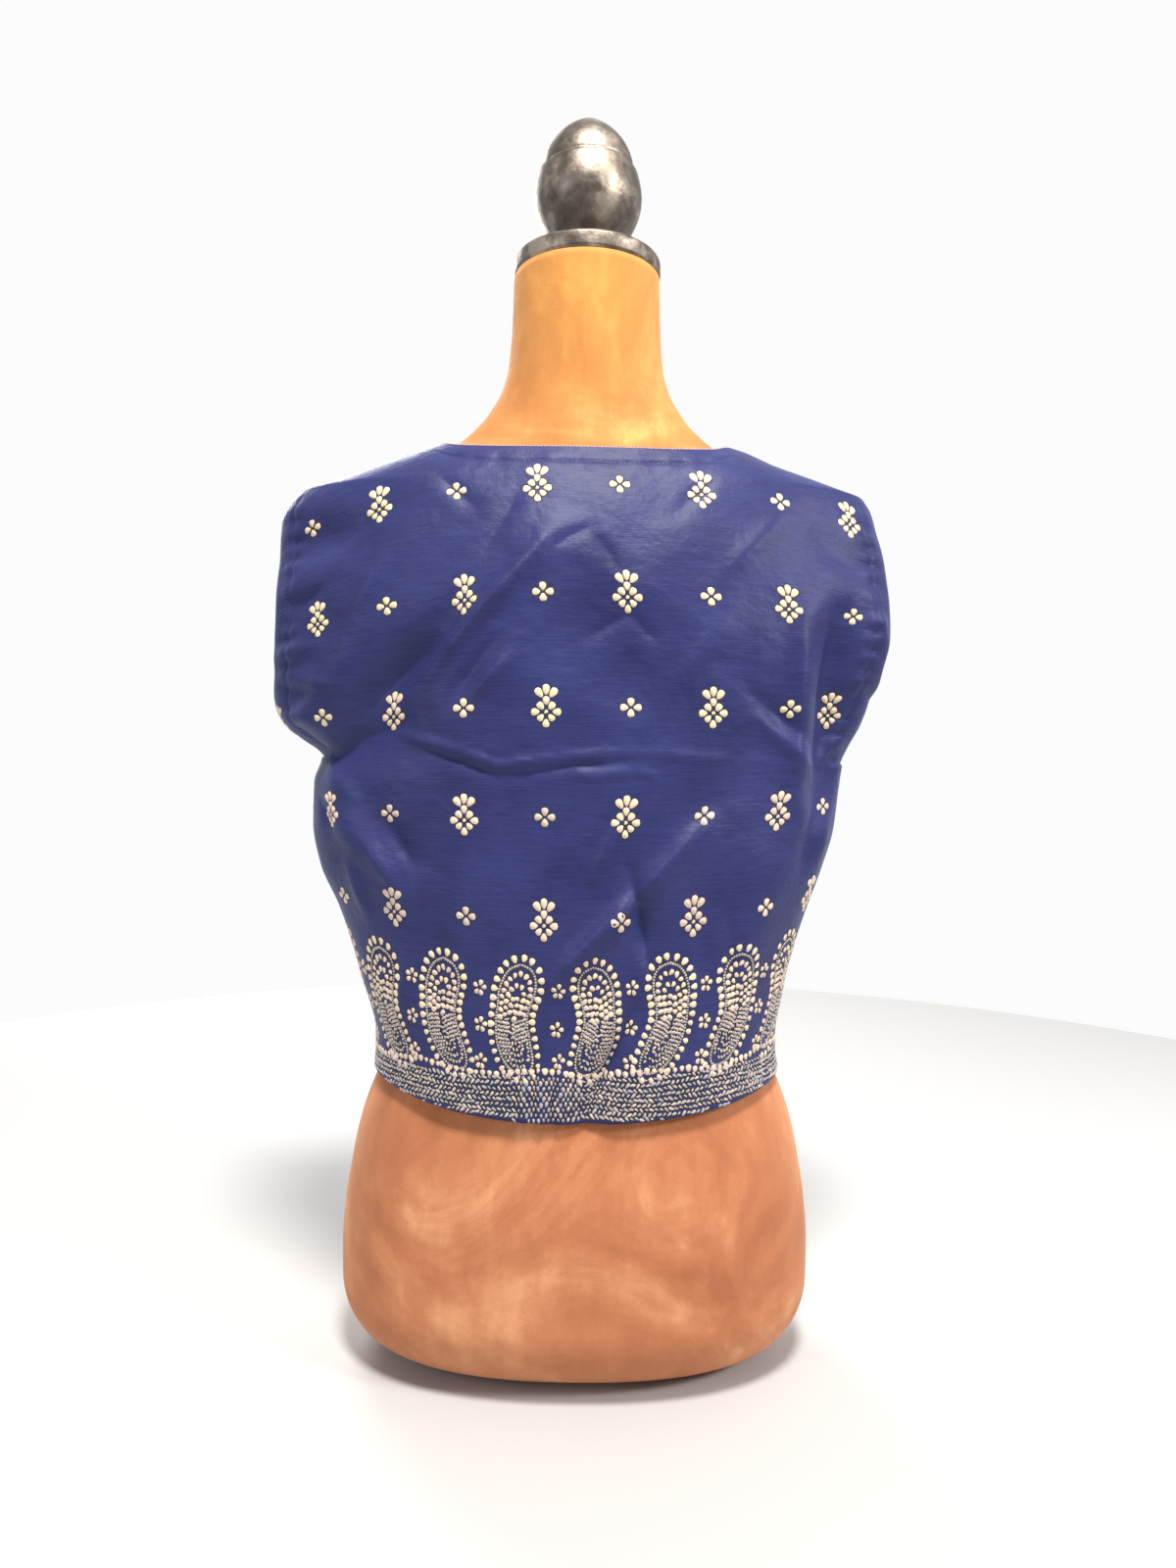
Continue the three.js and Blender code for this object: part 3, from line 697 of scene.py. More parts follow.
def across_share(half):
    """Share across a panel for every column, -1 at the wearer's right and +1 at the left."""
    from_middle = np.arange(columns_of(half) + 1) - columns_of(half) / 2
    side = np.sign(from_middle)
    tip = outline(np.full_like(side, SHOULDER_TIP), side)
    neck_share = NECK_POINT / tip
    neck_half = half["neck_columns"] / 2
    across = np.abs(from_middle)
    v = np.minimum(across / neck_half, 1)
    in_neck = neck_share * mix(v, np.sin(np.pi / 2 * v), half["neck_crowding"])
    u = np.clip((across - neck_half) / half["shoulder_columns"], 0, 1)
    in_shoulder = mix(neck_share, 1, mix(u, np.sin(np.pi / 2 * u), EDGE_CROWDING))
    return side * np.where(across <= neck_half, in_neck, in_shoulder)


def calmed(values, reach):
    """Each column averaged over the rows round it, so that one short crease shears no motif."""
    shares = np.hanning(2 * reach + 3)[1:-1]
    shares /= shares.sum()
    padded = np.pad(values, ((reach, reach), (0, 0)), mode="edge")
    return sum(share * padded[k : k + len(values)] for k, share in enumerate(shares))


class Panel:
    """One half of the garment as a grid of points, with its flat cloth coordinates."""

    def __init__(self, half):
        self.half = half
        facing = half["facing"]
        across = across_share(half)[None, :]
        up = 1 - (1 - np.linspace(0, 1, ROWS + 1)[:, None]) ** ROW_CROWDING
        side_z = mix(HEM_SIDE, SHOULDER_TIP, up)
        x = across * outline(side_z * np.ones_like(across), across * np.ones_like(side_z))
        z = mix(hem_edge(np.abs(across), half), top_edge(x, half), up)
        at_top = np.zeros_like(x, bool)
        at_top[-1] = True
        at_side = np.abs(across) * np.ones_like(x) > 1 - 1e-9
        seam = (at_side & (z <= UNDERARM)) | (at_top & ((np.abs(x) >= NECK_POINT - 1e-6) | at_side))
        lean = (np.abs(x) / outline(z, x)).clip(0, 1) ** FOLD_LEAN_POWER * np.sign(x)
        near_edge = np.abs(across) * np.where(z > UNDERARM, SLEEVE_FOLD_SHARE, 1)
        fold = fold_height(x, z, half["folds"], 2) * smooth_step(1, FOLD_FADE_START, near_edge)
        creases = CREASE_RISE * fold_height(x, z, half["creases"], CREASE_KEENNESS)
        fine = (creases + soft_waves(x, z, half)) * smooth_step(1, CREASE_FADE_START, near_edge)
        fold = fold + (fine + hem_puckers(x, z, half)) * smooth_step(1, TOP_FADE_START, up)
        depth = np.maximum(cloth_depth(x, z, half), SEAM_GAP / 2)
        depth = np.where(seam, SEAM_GAP / 2, depth)
        fold = np.where(seam, 0, fold)
        points = np.stack([x, depth * facing, z], axis=-1)
        points[..., 0] += fold * lean / np.hypot(1, lean)
        points[..., 1] += fold * facing / np.hypot(1, lean)
        near_neck = smooth_step(NECK_ROOM_END, NECK_ROOM_FULL, top_edge(x, half) - z)
        near_neck = near_neck * smooth_step(NECK_ROOM_REACH, NECK_POINT, np.abs(x))
        points = clear_of_form(points, CLOTH_ROOM + FACING_ROOM * near_neck)
        points[..., 1] = facing * np.maximum(SEAM_GAP / 2, points[..., 1] * facing)
        points[..., 1] = np.where(seam, facing * SEAM_GAP / 2, points[..., 1])
        self.inner = points
        rise = np.gradient(points, axis=0)
        run = np.gradient(points, axis=1)
        outward = np.cross(rise, run) * facing
        outward[seam, 1] = 0
        self.outward = unit(outward)
        self.outer = points + self.outward * OUTER_FACE
        self.measure()

    def measure(self):
        """Flat coordinates: u round the body from the centre line, v up the cloth."""
        middle = columns_of(self.half) // 2
        steps = np.linalg.norm(np.diff(self.outer[..., :2], axis=1), axis=-1)
        u = np.concatenate([np.zeros((len(steps), 1)), np.cumsum(steps, axis=1)], axis=1)
        u -= u[:, middle : middle + 1]
        x, z = self.inner[..., 0], self.inner[..., 2]
        u = x + calmed(u - x, WEAVE_CALM_ROWS)
        left, right, drift, width = (fair(GRAIN, GRAIN_COLUMNS, name, z) for name in GRAIN_COLUMNS[1:])
        sag = np.where(x > 0, left, right) * (x / GRAIN_REACH) ** 2
        self.flat = np.stack([GRAIN_MIDDLE + (u - GRAIN_MIDDLE - drift) / width, z + sag], axis=-1)

    def seat(self, flat_points, lifts):
        """Points of a flat pattern laid on the cloth, lifted off its outer face.

        Also says which of them lie on the panel."""
        rows, columns = self.flat.shape[0] - 1, self.flat.shape[1] - 1
        target = np.asarray(flat_points, float)
        middle = columns // 2
        row = np.interp(target[:, 1], self.flat[:, middle, 1], np.arange(rows + 1))
        nearest = np.clip(row.round().astype(int), 0, rows)
        column = np.array([np.interp(u, self.flat[r, :, 0], np.arange(columns + 1))
                           for u, r in zip(target[:, 0], nearest)])
        for _ in range(SEAT_ROUNDS):
            here, by_row, by_column = self.sample(self.flat, row, column, True)
            miss = target - here
            det = by_row[:, 0] * by_column[:, 1] - by_row[:, 1] * by_column[:, 0]
            det = np.where(np.abs(det) < 1e-6, 1e-6, det)
            step_row = (miss[:, 0] * by_column[:, 1] - miss[:, 1] * by_column[:, 0]) / det
            step_column = (by_row[:, 0] * miss[:, 1] - by_row[:, 1] * miss[:, 0]) / det
            row = np.clip(row + np.clip(step_row, -SEAT_STRIDE, SEAT_STRIDE), 0, rows)
            column = np.clip(column + np.clip(step_column, -SEAT_STRIDE, SEAT_STRIDE), 0, columns)
        here = self.sample(self.flat, row, column)
        on_cloth = np.linalg.norm(target - here, axis=1) < SEAT_MISS
        points = self.sample(self.outer, row, column)
        away = unit(self.sample(self.outward, row, column))
        return points + away * np.asarray(lifts)[:, None], on_cloth

    @staticmethod
    def sample(field, row, column, slopes=False):
        r = np.clip(np.floor(row).astype(int), 0, field.shape[0] - 2)
        c = np.clip(np.floor(column).astype(int), 0, field.shape[1] - 2)
        fr, fc = (row - r)[:, None], (column - c)[:, None]
        a, b = field[r, c], field[r, c + 1]
        d, e = field[r + 1, c], field[r + 1, c + 1]
        value = mix(mix(a, b, fc), mix(d, e, fc), fr)
        if not slopes:
            return value
        return value, mix(d - a, e - b, fc), mix(b - a, e - d, fr)


def cloth_piece(name, points, flat, thickness, facing, material):
    """A shell from a grid of outer points: thickness is laid on inside them."""
    rows, columns = points.shape[0] - 1, points.shape[1] - 1
    bm = bmesh.new()
    bmesh.ops.create_grid(bm, x_segments=columns, y_segments=rows, size=0.5)
    bm.verts.ensure_lookup_table()
    uv = bm.loops.layers.uv.new("flat")
    place = {}
    for vert in bm.verts:
        row = round((vert.co.y + 0.5) * rows)
        column = round((vert.co.x + 0.5) * columns)
        place[vert] = (row, column)
        vert.co = points[row, column]
    for face in bm.faces:
        for loop in face.loops:
            row, column = place[loop.vert]
            loop[uv].uv = flat[row, column] * MM
    if facing > 0:
        bmesh.ops.reverse_faces(bm, faces=bm.faces)
    piece = mesh_object(name, bm, material)
    wall = piece.modifiers.new("cloth", "SOLIDIFY")
    wall.thickness = thickness * MM
    wall.offset = -1
    wall.use_even_offset = False
    return piece


def panel_piece(name, panel, material):
    return cloth_piece(name, panel.outer, panel.flat, CLOTH, panel.half["facing"], material)


def facing_piece(name, panel, rows, columns, material, proud=0.0):
    """A strip of facing inside the panel; proud is how far it shows past the edge."""
    inside = slice(rows[0], rows[1] + 1), slice(columns[0], columns[1] + 1)
    depth = OUTER_FACE - CLOTH - LAYER_GAP - FACING_SLACK
    points = panel.inner[inside] + panel.outward[inside] * depth
    if proud:
        way = unit(points[-1] - points[-2])
        points[-1] += way * proud
    return cloth_piece(name, points, panel.flat[inside], FACING_CLOTH, panel.half["facing"], material)


def neck_facing(panel, material):
    half = panel.half
    columns = (half["shoulder_columns"], half["shoulder_columns"] + half["neck_columns"])
    middle = columns_of(half) // 2
    heights = panel.inner[:, middle, 2]
    first = int(np.searchsorted(heights, heights[-1] - NECK_TURNING))
    name = "neck_facing_" + half["name"] + "_cloth"
    return facing_piece(name, panel, (first, ROWS), columns, material, proud=FACING_ROLL)


def sleeve_facing(panel, side, material):
    edge = columns_of(panel.half) if side == "left" else 0
    openness = sleeve_openness(panel.inner[:, edge, 2])
    inside = np.flatnonzero(openness > FACING_START)
    rows = (int(inside[0]), int(inside[-1]))
    across = panel.flat[rows[1] // 2 + rows[0] // 2, :, 0]
    wide = int((np.abs(across - across[edge]) < SLEEVE_TURNING).sum())
    columns = (edge - wide, edge) if side == "left" else (0, wide)
    name = f"sleeve_facing_{side}_{panel.half['name']}_cloth"
    return facing_piece(name, panel, rows, columns, material)


# ------------------------------------------------------------------ woven pattern


def leaf_template(sides):
    """One flat leaf, 1 long and 1 wide, its tip at -y: outline ring, inner ring and crown."""
    bm = bmesh.new()
    bmesh.ops.create_circle(bm, cap_ends=True, radius=0.5, segments=sides)
    for vert in bm.verts:
        vert.co.x *= 1 + LEAF_TAPER * vert.co.y * 2
    bmesh.ops.inset_individual(bm, faces=bm.faces[:], thickness=0.09, depth=0)
    bm.faces.ensure_lookup_table()
    crown = bmesh.ops.poke(bm, faces=[bm.faces[0]])
    bm.verts.ensure_lookup_table()
    bm.verts.index_update()
    top = {vert.index for vert in crown["verts"]}
    outer = {vert.index for vert in bm.verts if vert.is_boundary}
    points = np.array([[vert.co.x, vert.co.y] for vert in bm.verts])
    lifts = np.array([
        1.0 if vert.index in top else (-0.35 if vert.index in outer else 0.75) for vert in bm.verts
    ])
    bmesh.ops.triangulate(bm, faces=bm.faces[:])
    bm.verts.index_update()
    faces = np.array([[vert.index for vert in face.verts] for face in bm.faces])
    bm.free()
    return points, lifts, faces


def disc_template(sides):
    bm = bmesh.new()
    bmesh.ops.create_circle(bm, cap_ends=True, cap_tris=True, radius=0.5, segments=sides)
    for vert in bm.verts:
        vert.co.x *= 1 + LEAF_TAPER * vert.co.y * 2
    bm.verts.index_update()
    points = np.array([[vert.co.x, vert.co.y] for vert in bm.verts])
    rim = np.array([vert.is_boundary for vert in bm.verts])
    faces = np.array([[vert.index for vert in face.verts] for face in bm.faces])
    bm.free()
    return points, np.where(rim, -0.1, 1.0), faces


def lay_leaves(name, panel, leaves, rise, grow, template, material):
    """Many leaves as one mesh on the cloth. A leaf that would cross an edge is left out."""
    shape, lifts, faces = template
    middles = np.array([leaf[:2] for leaf in leaves], float)
    lengths = np.array([leaf[2] for leaf in leaves], float) + grow
    widths = np.array([leaf[3] for leaf in leaves], float) + grow
    turns = np.radians([leaf[4] for leaf in leaves])
    tones = np.array([leaf[5] for leaf in leaves], float)
    x = shape[None, :, 0] * widths[:, None]
    y = shape[None, :, 1] * lengths[:, None]
    cos, sin = np.cos(turns)[:, None], np.sin(turns)[:, None]
    flat = np.stack([x * cos - y * sin, x * sin + y * cos], axis=-1) + middles[:, None]
    count, size = flat.shape[:2]
    heights = np.broadcast_to(lifts * rise, (count, size))
    points, on_cloth = panel.seat(flat.reshape(-1, 2), heights.reshape(-1))
    whole = on_cloth.reshape(count, size).all(axis=1)
    points = points.reshape(count, size, 3)[whole].reshape(-1, 3) * MM
    kept = int(whole.sum())
    joined = (faces[None] + (np.arange(kept) * size)[:, None, None]).reshape(-1, 3)
    if panel.half["facing"] > 0:
        joined = joined[:, ::-1]
    mesh = bpy.data.meshes.new(name)
    mesh.from_pydata(points.tolist(), [], joined.tolist())
    tone = mesh.attributes.new("tone", "FLOAT", "POINT")
    tone.data.foreach_set("value", np.repeat(tones[whole], size))
    along = mesh.attributes.new("along", "FLOAT_VECTOR", "POINT")
    own = np.stack([x, y, np.zeros_like(x)], axis=-1)[whole] * MM
    along.data.foreach_set("vector", own.reshape(-1))
    mesh.materials.append(material)
    mesh.shade_smooth()
    piece = bpy.data.objects.new(name, mesh)
    bpy.context.scene.collection.objects.link(piece)
    return piece


def sprig_leaves(chance):
    leaves = []
    for row, height in enumerate(SPRIG_ROWS):
        for step in range(-7, 8):
            x = SPRIG_START + step * SPRIG_STEP
            large = (step + row) % 2 == 0
            sprig = LARGE_SPRIG if large else SMALL_SPRIG
            # Each sprig gets a random tone; the rows below 400 mm are set deeper as painted shade, so the
            # top rows read paler where the light falls.
            tone_and_lower_shade = 0.35 * chance.random() + (0.25 if height < 400 else 0.0)
            for dx, dy, length, width, turn in sprig:
                tone = tone_and_lower_shade + 0.15 * chance.random()
                leaves.append((x + dx, height + dy, length, width, turn, tone))
    return leaves


def paisley_ring(tail, share, steps=60):
    """A closed ring inside one paisley, at a share of the way out to its edge."""
    heights = PAISLEY_HEIGHT * (1 - np.cos(np.pi * np.linspace(0, 1, steps))) / 2
    half = fair(PAISLEY_SHAPE, PAISLEY_COLUMNS, "half", heights) * share
    heights = PAISLEY_HEIGHT / 2 + (heights - PAISLEY_HEIGHT / 2) * mix(0.3, 1, share)
    bend = fair(PAISLEY_SHAPE, PAISLEY_COLUMNS, "bend", heights) * math.copysign(1, tail)
    middle = bend + tail * (1 - heights / PAISLEY_HEIGHT) ** PAISLEY_LEAN
    right = np.stack([middle + half, heights], axis=-1)
    left = np.stack([middle - half, heights], axis=-1)[::-1]
    return np.concatenate([right, left[1:-1]])


def even_points(ring, step):
    """Points at even steps round a closed ring, with the outward way at each."""
    closed = np.concatenate([ring, ring[:1]])
    lengths = np.concatenate([[0], np.cumsum(np.linalg.norm(np.diff(closed, axis=0), axis=1))])
    count = max(int(lengths[-1] / step), 1)
    at = (np.arange(count) + 0.5) * lengths[-1] / count
    points = np.stack([np.interp(at, lengths, closed[:, k]) for k in (0, 1)], axis=-1)
    ahead = np.stack([np.interp(at + 0.5, lengths, closed[:, k]) for k in (0, 1)], axis=-1)
    way = unit(ahead - points)
    return points, np.stack([way[:, 1], -way[:, 0]], axis=-1)


def turn_of(way):
    """Turn of a leaf whose round end points the given way."""
    return math.degrees(math.atan2(-way[0], way[1]))


def ring_leaves(origin, tail, rings, chance, keep=lambda point: True):
    """Leaves round a paisley's rings, round ends outwards, turned by the skew to and fro."""
    shares, step, size, tones, skew = rings
    leaves = []
    for share in shares:
        points, out = even_points(paisley_ring(tail, share), step)
        for index, (point, way) in enumerate(zip(points, out)):
            if not keep(point):
                continue
            scale = 0.86 + 0.28 * chance.random()
            turn = turn_of(way) + skew * (1 if index % 2 else -1) + stray(chance, 14)
            tone = mix(*tones, chance.random())
            x, z = origin[0] + point[0], origin[1] + point[1]
            leaves.append((x, z, size[0] * scale, size[1] * scale, turn, tone))
    return leaves


def paisley_leaves(x, tail, chance):
    """One paisley: a rim of leaves, a fine cord, a leafy head and a stitched body."""
    origin = (x, PAISLEY_FOOT)
    head = PAISLEY_HEAD_START * PAISLEY_HEIGHT
    side = math.copysign(1, tail)

    def in_head(point):
        return point[1] > head

    def in_body(point):
        middle = tail * (1 - point[1] / PAISLEY_HEIGHT) ** PAISLEY_LEAN
        across = side * (point[0] - middle)
        in_slit = any(abs(across - at) < PAISLEY_SLIT_HALF and low < point[1] < high
                      for at, low, high in PAISLEY_SLITS)
        return point[1] < head and not in_slit

    length, width = PAISLEY_LEAF
    points, out = even_points(paisley_ring(tail, 1.0), PAISLEY_LEAF_STEP)
    leaves = []
    for point, way in zip(points, out):
        low = point[1] < 0.45 * PAISLEY_HEIGHT
        scale = (0.88 if low else 1.0) * (0.92 + 0.16 * chance.random())
        centre = point + PAISLEY_LEAF_OUT * way
        tone = 0.1 + 0.35 * chance.random() + (0.15 if low else 0)
        place = (x + centre[0], PAISLEY_FOOT + centre[1])
        leaves.append((*place, length * scale, width * scale, turn_of(way), tone))
    leaves += ring_leaves(origin, tail, CORD_RING, chance)
    leaves += ring_leaves(origin, tail, HEAD_RINGS, chance, in_head)
    leaves += ring_leaves(origin, tail, BODY_RINGS, chance, in_body)
    return leaves


def rosette(x, z, chance):
    leaves = []
    for k in range(ROSETTE_LEAVES):
        angle = 360 / ROSETTE_LEAVES * k + 20 * chance.random()
        way = (-math.sin(math.radians(angle)), math.cos(math.radians(angle)))
        place = (x + ROSETTE_RADIUS * way[0], z + ROSETTE_RADIUS * way[1])
        leaves.append((*place, *ROSETTE_LEAF, angle, 0.35 + 0.3 * chance.random()))
    return leaves


def border_leaves(chance):
    leaves = []
    for step in range(-5, 6):
        x = PAISLEY_START + step * SPRIG_STEP
        lean = PAISLEY_TAIL + PAISLEY_TAIL_SHIFT * x
        tail = float(np.clip(lean, -PAISLEY_TAIL_MOST, PAISLEY_TAIL_MOST))
        leaves += paisley_leaves(x - PAISLEY_SETBACK * tail, tail, chance)
        for height in ROSETTE_HEIGHTS:
            between = x + SPRIG_STEP / 2 - ROSETTE_SETBACK * tail + stray(chance, 2.4)
            leaves += rosette(between, height + stray(chance, 3), chance)
    return leaves


def band_leaves(chance):
    """The hem band: a row of beads over close, uneven rows of slanting stitches."""
    leaves = []
    for u in np.arange(-HEM_BAND_REACH, HEM_BAND_REACH, TOP_BEAD_STEP):
        z = HEM_BAND_TOP + TOP_BEAD_LIFT + 1.6 * math.sin(u / 15) + stray(chance, 1.2)
        size = 0.8 + 0.4 * chance.random()
        leaves.append((u, z, TOP_BEAD[0] * size, TOP_BEAD[1] * size, 0, 0.25 + 0.35 * chance.random()))
    rows = int((HEM_BAND_TOP - HEM_BAND_FOOT) / HEM_BAND_ROW) + 3
    for row in range(rows):
        first = -HEM_BAND_REACH + (row % 2) * HEM_BAND_STEP / 2
        for u in np.arange(first, HEM_BAND_REACH, HEM_BAND_STEP):
            turn = HEM_BAND_SLANT if row % 2 else -HEM_BAND_SLANT
            length, width = SLANT_STITCH
            if CENTRE_BEADS[0] < u < CENTRE_BEADS[1]:
                turn = 0
                length, width = CENTRE_STITCH
            size = 0.65 + 0.6 * chance.random()
            turn += stray(chance, 44)
            sway = 0.9 * math.sin(u / 21 + row / 3) + stray(chance, 0.9)
            z = HEM_BAND_TOP - 2 - row * HEM_BAND_ROW + sway
            leaves.append((u, z, length * size, width * size, turn, 0.62 + 0.38 * chance.random() ** 0.6))
    return leaves


# ------------------------------------------------------------------ stitches


def stitch_line(name, panel, line, pitch, material, share=STITCH_SHARE):
    """A row of short thread stitches, each a share of the pitch, along a line of flat points."""
    line = np.array(line)
    lengths = np.concatenate([[0], np.cumsum(np.linalg.norm(np.diff(line, axis=0), axis=1))])
    at = np.arange(pitch / 2, lengths[-1], pitch)
    points = np.stack([np.interp(at, lengths, line[:, k]) for k in (0, 1)], axis=-1)
    ahead = np.stack([np.interp(at + 1, lengths, line[:, k]) for k in (0, 1)], axis=-1)
    leaves = [(*point, share * pitch, STITCH_WIDTH, turn_of(on - point), 0.5)
              for point, on in zip(points, ahead)]
    return lay_leaves(name, panel, leaves, STITCH_RISE, 0, leaf_template(8), material)


def edge_lines(panel):
    """Flat lines of stitching: round the neck, along both sleeves and over the hem."""
    half, flat = panel.half, panel.flat
    shoulder = half["shoulder_columns"]
    neck = slice(shoulder + 2, shoulder + half["neck_columns"] - 1)
    lines = {"neck": flat[-1, neck] - [0, NECK_TURNING]}
    lines["hem"] = flat[0] + [0, BOTTOM_TURNING]
    openness = sleeve_openness(panel.inner[:, 0, 2])
    rows = np.flatnonzero(openness > STITCHED_OPEN)
    lines["sleeve_right"] = flat[rows, 0] + [SLEEVE_TURNING, 0]
    lines["sleeve_left"] = flat[rows, -1] - [SLEEVE_TURNING, 0]
    return lines


# ------------------------------------------------------------------ dress form pieces


def form_piece(material):
    """The padded form: a grid rolled into a tube, shaped by its sections and closed."""
    around, up = 144, 190
    bm = bmesh.new()
    bmesh.ops.create_grid(bm, x_segments=around, y_segments=up, size=0.5)
    edge_share = 0.16
    for vert in bm.verts:
        angle = (vert.co.x + 0.5) * 2 * math.pi
        share = vert.co.y + 0.5
        if share < edge_share:
            z = BOTTOM_EDGE_RADIUS * (1 - math.cos(share / edge_share * math.pi / 2))
        else:
            z = mix(BOTTOM_EDGE_RADIUS, NECK_TOP, (share - edge_share) / (1 - edge_share))
        side, back, front, square = (float(v) for v in form_section(np.array(z)))
        c, s = math.cos(angle), math.sin(angle)
        depth = back if s > 0 else front
        x = side * math.copysign(abs(c) ** (2 / square), c)
        vert.co = (x, depth * math.copysign(abs(s) ** (2 / square), s), z)
    bmesh.ops.remove_doubles(bm, verts=bm.verts, dist=0.01)
    for height in (0.0, NECK_TOP):
        rim = [edge for edge in bm.edges if edge.is_boundary
               and all(abs(vert.co.z - height) < 0.01 for vert in edge.verts)]
        bmesh.ops.edgeloop_fill(bm, edges=rim)
    caps = [face for face in bm.faces if len(face.verts) > 4]
    bmesh.ops.inset_individual(bm, faces=caps, thickness=2.0, depth=0)
    bmesh.ops.recalc_face_normals(bm, faces=bm.faces)
    return mesh_object("form_velvet", bm, material)


def turned_piece(name, profile, material, steps=96):
    """A closed solid spun round the upright axis from its profile (radius, height)."""
    bm = bmesh.new()
    verts = [bm.verts.new((radius, 0, z)) for radius, z in profile]
    edges = [bm.edges.new(pair) for pair in zip(verts, verts[1:])]
    bmesh.ops.spin(bm, geom=verts + edges, cent=(0, 0, 0), axis=(0, 0, 1), angle=2 * math.pi,
                   steps=steps, use_merge=True)
    bmesh.ops.remove_doubles(bm, verts=bm.verts, dist=0.001)
    bmesh.ops.recalc_face_normals(bm, faces=bm.faces)
    return mesh_object(name, bm, material)


def rounded_profile(points, steps=4):
    """A profile with its stretches drawn as smooth curves through the points."""
    points = np.array(points, float)
    padded = np.vstack([2 * points[0] - points[1], points, 2 * points[-1] - points[-2]])
    result = []
    for a, b, c, d in zip(padded, padded[1:], padded[2:], padded[3:]):
        for step in range(steps):
            t = step / steps
            result.append(0.5 * (2 * b + (c - a) * t + (2 * a - 5 * b + 4 * c - d) * t**2
                                 + (3 * b - a - 3 * c + d) * t**3))
    result.append(points[-1])
    return [(max(float(r), 0.0), float(z)) for r, z in result]


def cap_piece(material):
    bottom = NECK_TOP + CAP_GAP
    top = bottom + CAP_THICKNESS
    profile = [(0, bottom), (CAP_RADIUS - CAP_EDGE_RADIUS, bottom)]
    for step in range(1, 7):
        angle = math.pi / 2 * step / 6
        profile.append((CAP_RADIUS - CAP_EDGE_RADIUS * (1 - math.sin(angle)),
                        bottom + CAP_EDGE_RADIUS * (1 - math.cos(angle))))
    for step in range(7):
        angle = math.pi / 2 * step / 6
        profile.append((CAP_RADIUS - CAP_EDGE_RADIUS * (1 - math.cos(angle)),
                        top - CAP_EDGE_RADIUS * (1 - math.sin(angle))))
    dome = top + CAP_DOME_RISE
    profile += [(CAP_SHOULDER_RADIUS, top + CAP_SHOULDER_RISE), (FINIAL_PROFILE[0][1] + 2, dome), (0, dome)]
    return turned_piece("cap_plate_metal", profile, material)


def finial_piece(material):
    foot = NECK_TOP + 2 * CAP_GAP + CAP_THICKNESS + CAP_DOME_RISE
    curve = [(radius, foot + up) for up, radius in FINIAL_PROFILE] + [(0.0, foot + FINIAL_HEIGHT)]
    return turned_piece("cap_finial_metal", [(0, foot)] + rounded_profile(curve), material)


# ------------------------------------------------------------------ materials


# Places of the colour sockets on a Mix node.
COLOR_A = 6
COLOR_B = 7
COLOR_RESULT = 2


def new_material(name):
    material = bpy.data.materials.new(name)
    material.use_nodes = True
    return material, material.node_tree, material.node_tree.nodes["Principled BSDF"]


def plug(tree, node, inputs):
    """Links the sockets and sets the plain values among a node's inputs."""
    for name, value in inputs.items():
        if isinstance(value, bpy.types.NodeSocket):
            tree.links.new(value, node.inputs[name])
        else:
            node.inputs[name].default_value = value


def add_node(tree, kind, inputs=None, **settings):
    node = tree.nodes.new(kind)
    for name, value in settings.items():
        setattr(node, name, value)
    plug(tree, node, inputs or {})
    return node


def stretched(tree, vector, scale):
    mapping = add_node(tree, "ShaderNodeMapping", {"Vector": vector, "Scale": scale})
    return mapping.outputs["Vector"]


def ramp(tree, value, stops):
    node = add_node(tree, "ShaderNodeValToRGB", {"Fac": value})
    while len(node.color_ramp.elements) < len(stops):
        node.color_ramp.elements.new(0.5)
    for element, (position, color) in zip(node.color_ramp.elements, stops):
        element.position = position
        element.color = (*color, 1)
    return node.outputs["Color"]


def noise(tree, vector, scale, detail=3.0, roughness=0.55):
    node = add_node(tree, "ShaderNodeTexNoise", {"Vector": vector, "Scale": scale, "Detail": detail,
                                                 "Roughness": roughness})
    return node.outputs["Fac"]


def threads(tree, vector, scale, way, distortion=0.0):
    """Fine parallel threads: a wave across the given way of the cloth."""
    inputs = {"Vector": vector, "Scale": scale, "Distortion": distortion}
    node = add_node(tree, "ShaderNodeTexWave", inputs, wave_type="BANDS", bands_direction=way)
    return node.outputs["Fac"]


def bump(tree, height, strength, distance, below=None):
    inputs = {"Height": height, "Strength": strength, "Distance": distance}
    if below is not None:
        inputs["Normal"] = below
    return add_node(tree, "ShaderNodeBump", inputs).outputs["Normal"]


def satin_brocade():
    """Blue satin ground: fine weft ribs, uneven silk threads and a soft bluish sheen."""
    material, tree, shader = new_material("satin_brocade")
    flat = add_node(tree, "ShaderNodeUVMap", uv_map="flat").outputs["UV"]
    slubs = noise(tree, stretched(tree, flat, (45, 900, 1)), 1.0, 4.0)
    cloud = noise(tree, flat, 16.0, 3.0)
    blend = add_node(tree, "ShaderNodeMath", {0: slubs, 1: cloud}, operation="ADD").outputs[0]
    half = add_node(tree, "ShaderNodeMath", {0: blend, 1: 0.5}, operation="MULTIPLY").outputs[0]
    color = ramp(tree, half, ((0.34, (0.018, 0.021, 0.088)), (0.66, (0.034, 0.041, 0.160))))
    weave = bump(tree, threads(tree, flat, 620.0, "Y", 1.5), 0.12, 0.0002)
    crumple = noise(tree, stretched(tree, flat, (30, 38, 1)), 1.0, 5.0, 0.55)
    normal = bump(tree, slubs, 0.3, 0.0004, bump(tree, crumple, 0.5, 0.004, weave))
    plug(tree, shader, {
        "Base Color": color,
        "Normal": normal,
        "Roughness": 0.46,
        "Specular IOR Level": 0.22,
        "Sheen Weight": 0.15,
        "Sheen Roughness": 0.35,
        "Sheen Tint": (0.45, 0.5, 1.0, 1),
    })
    return material


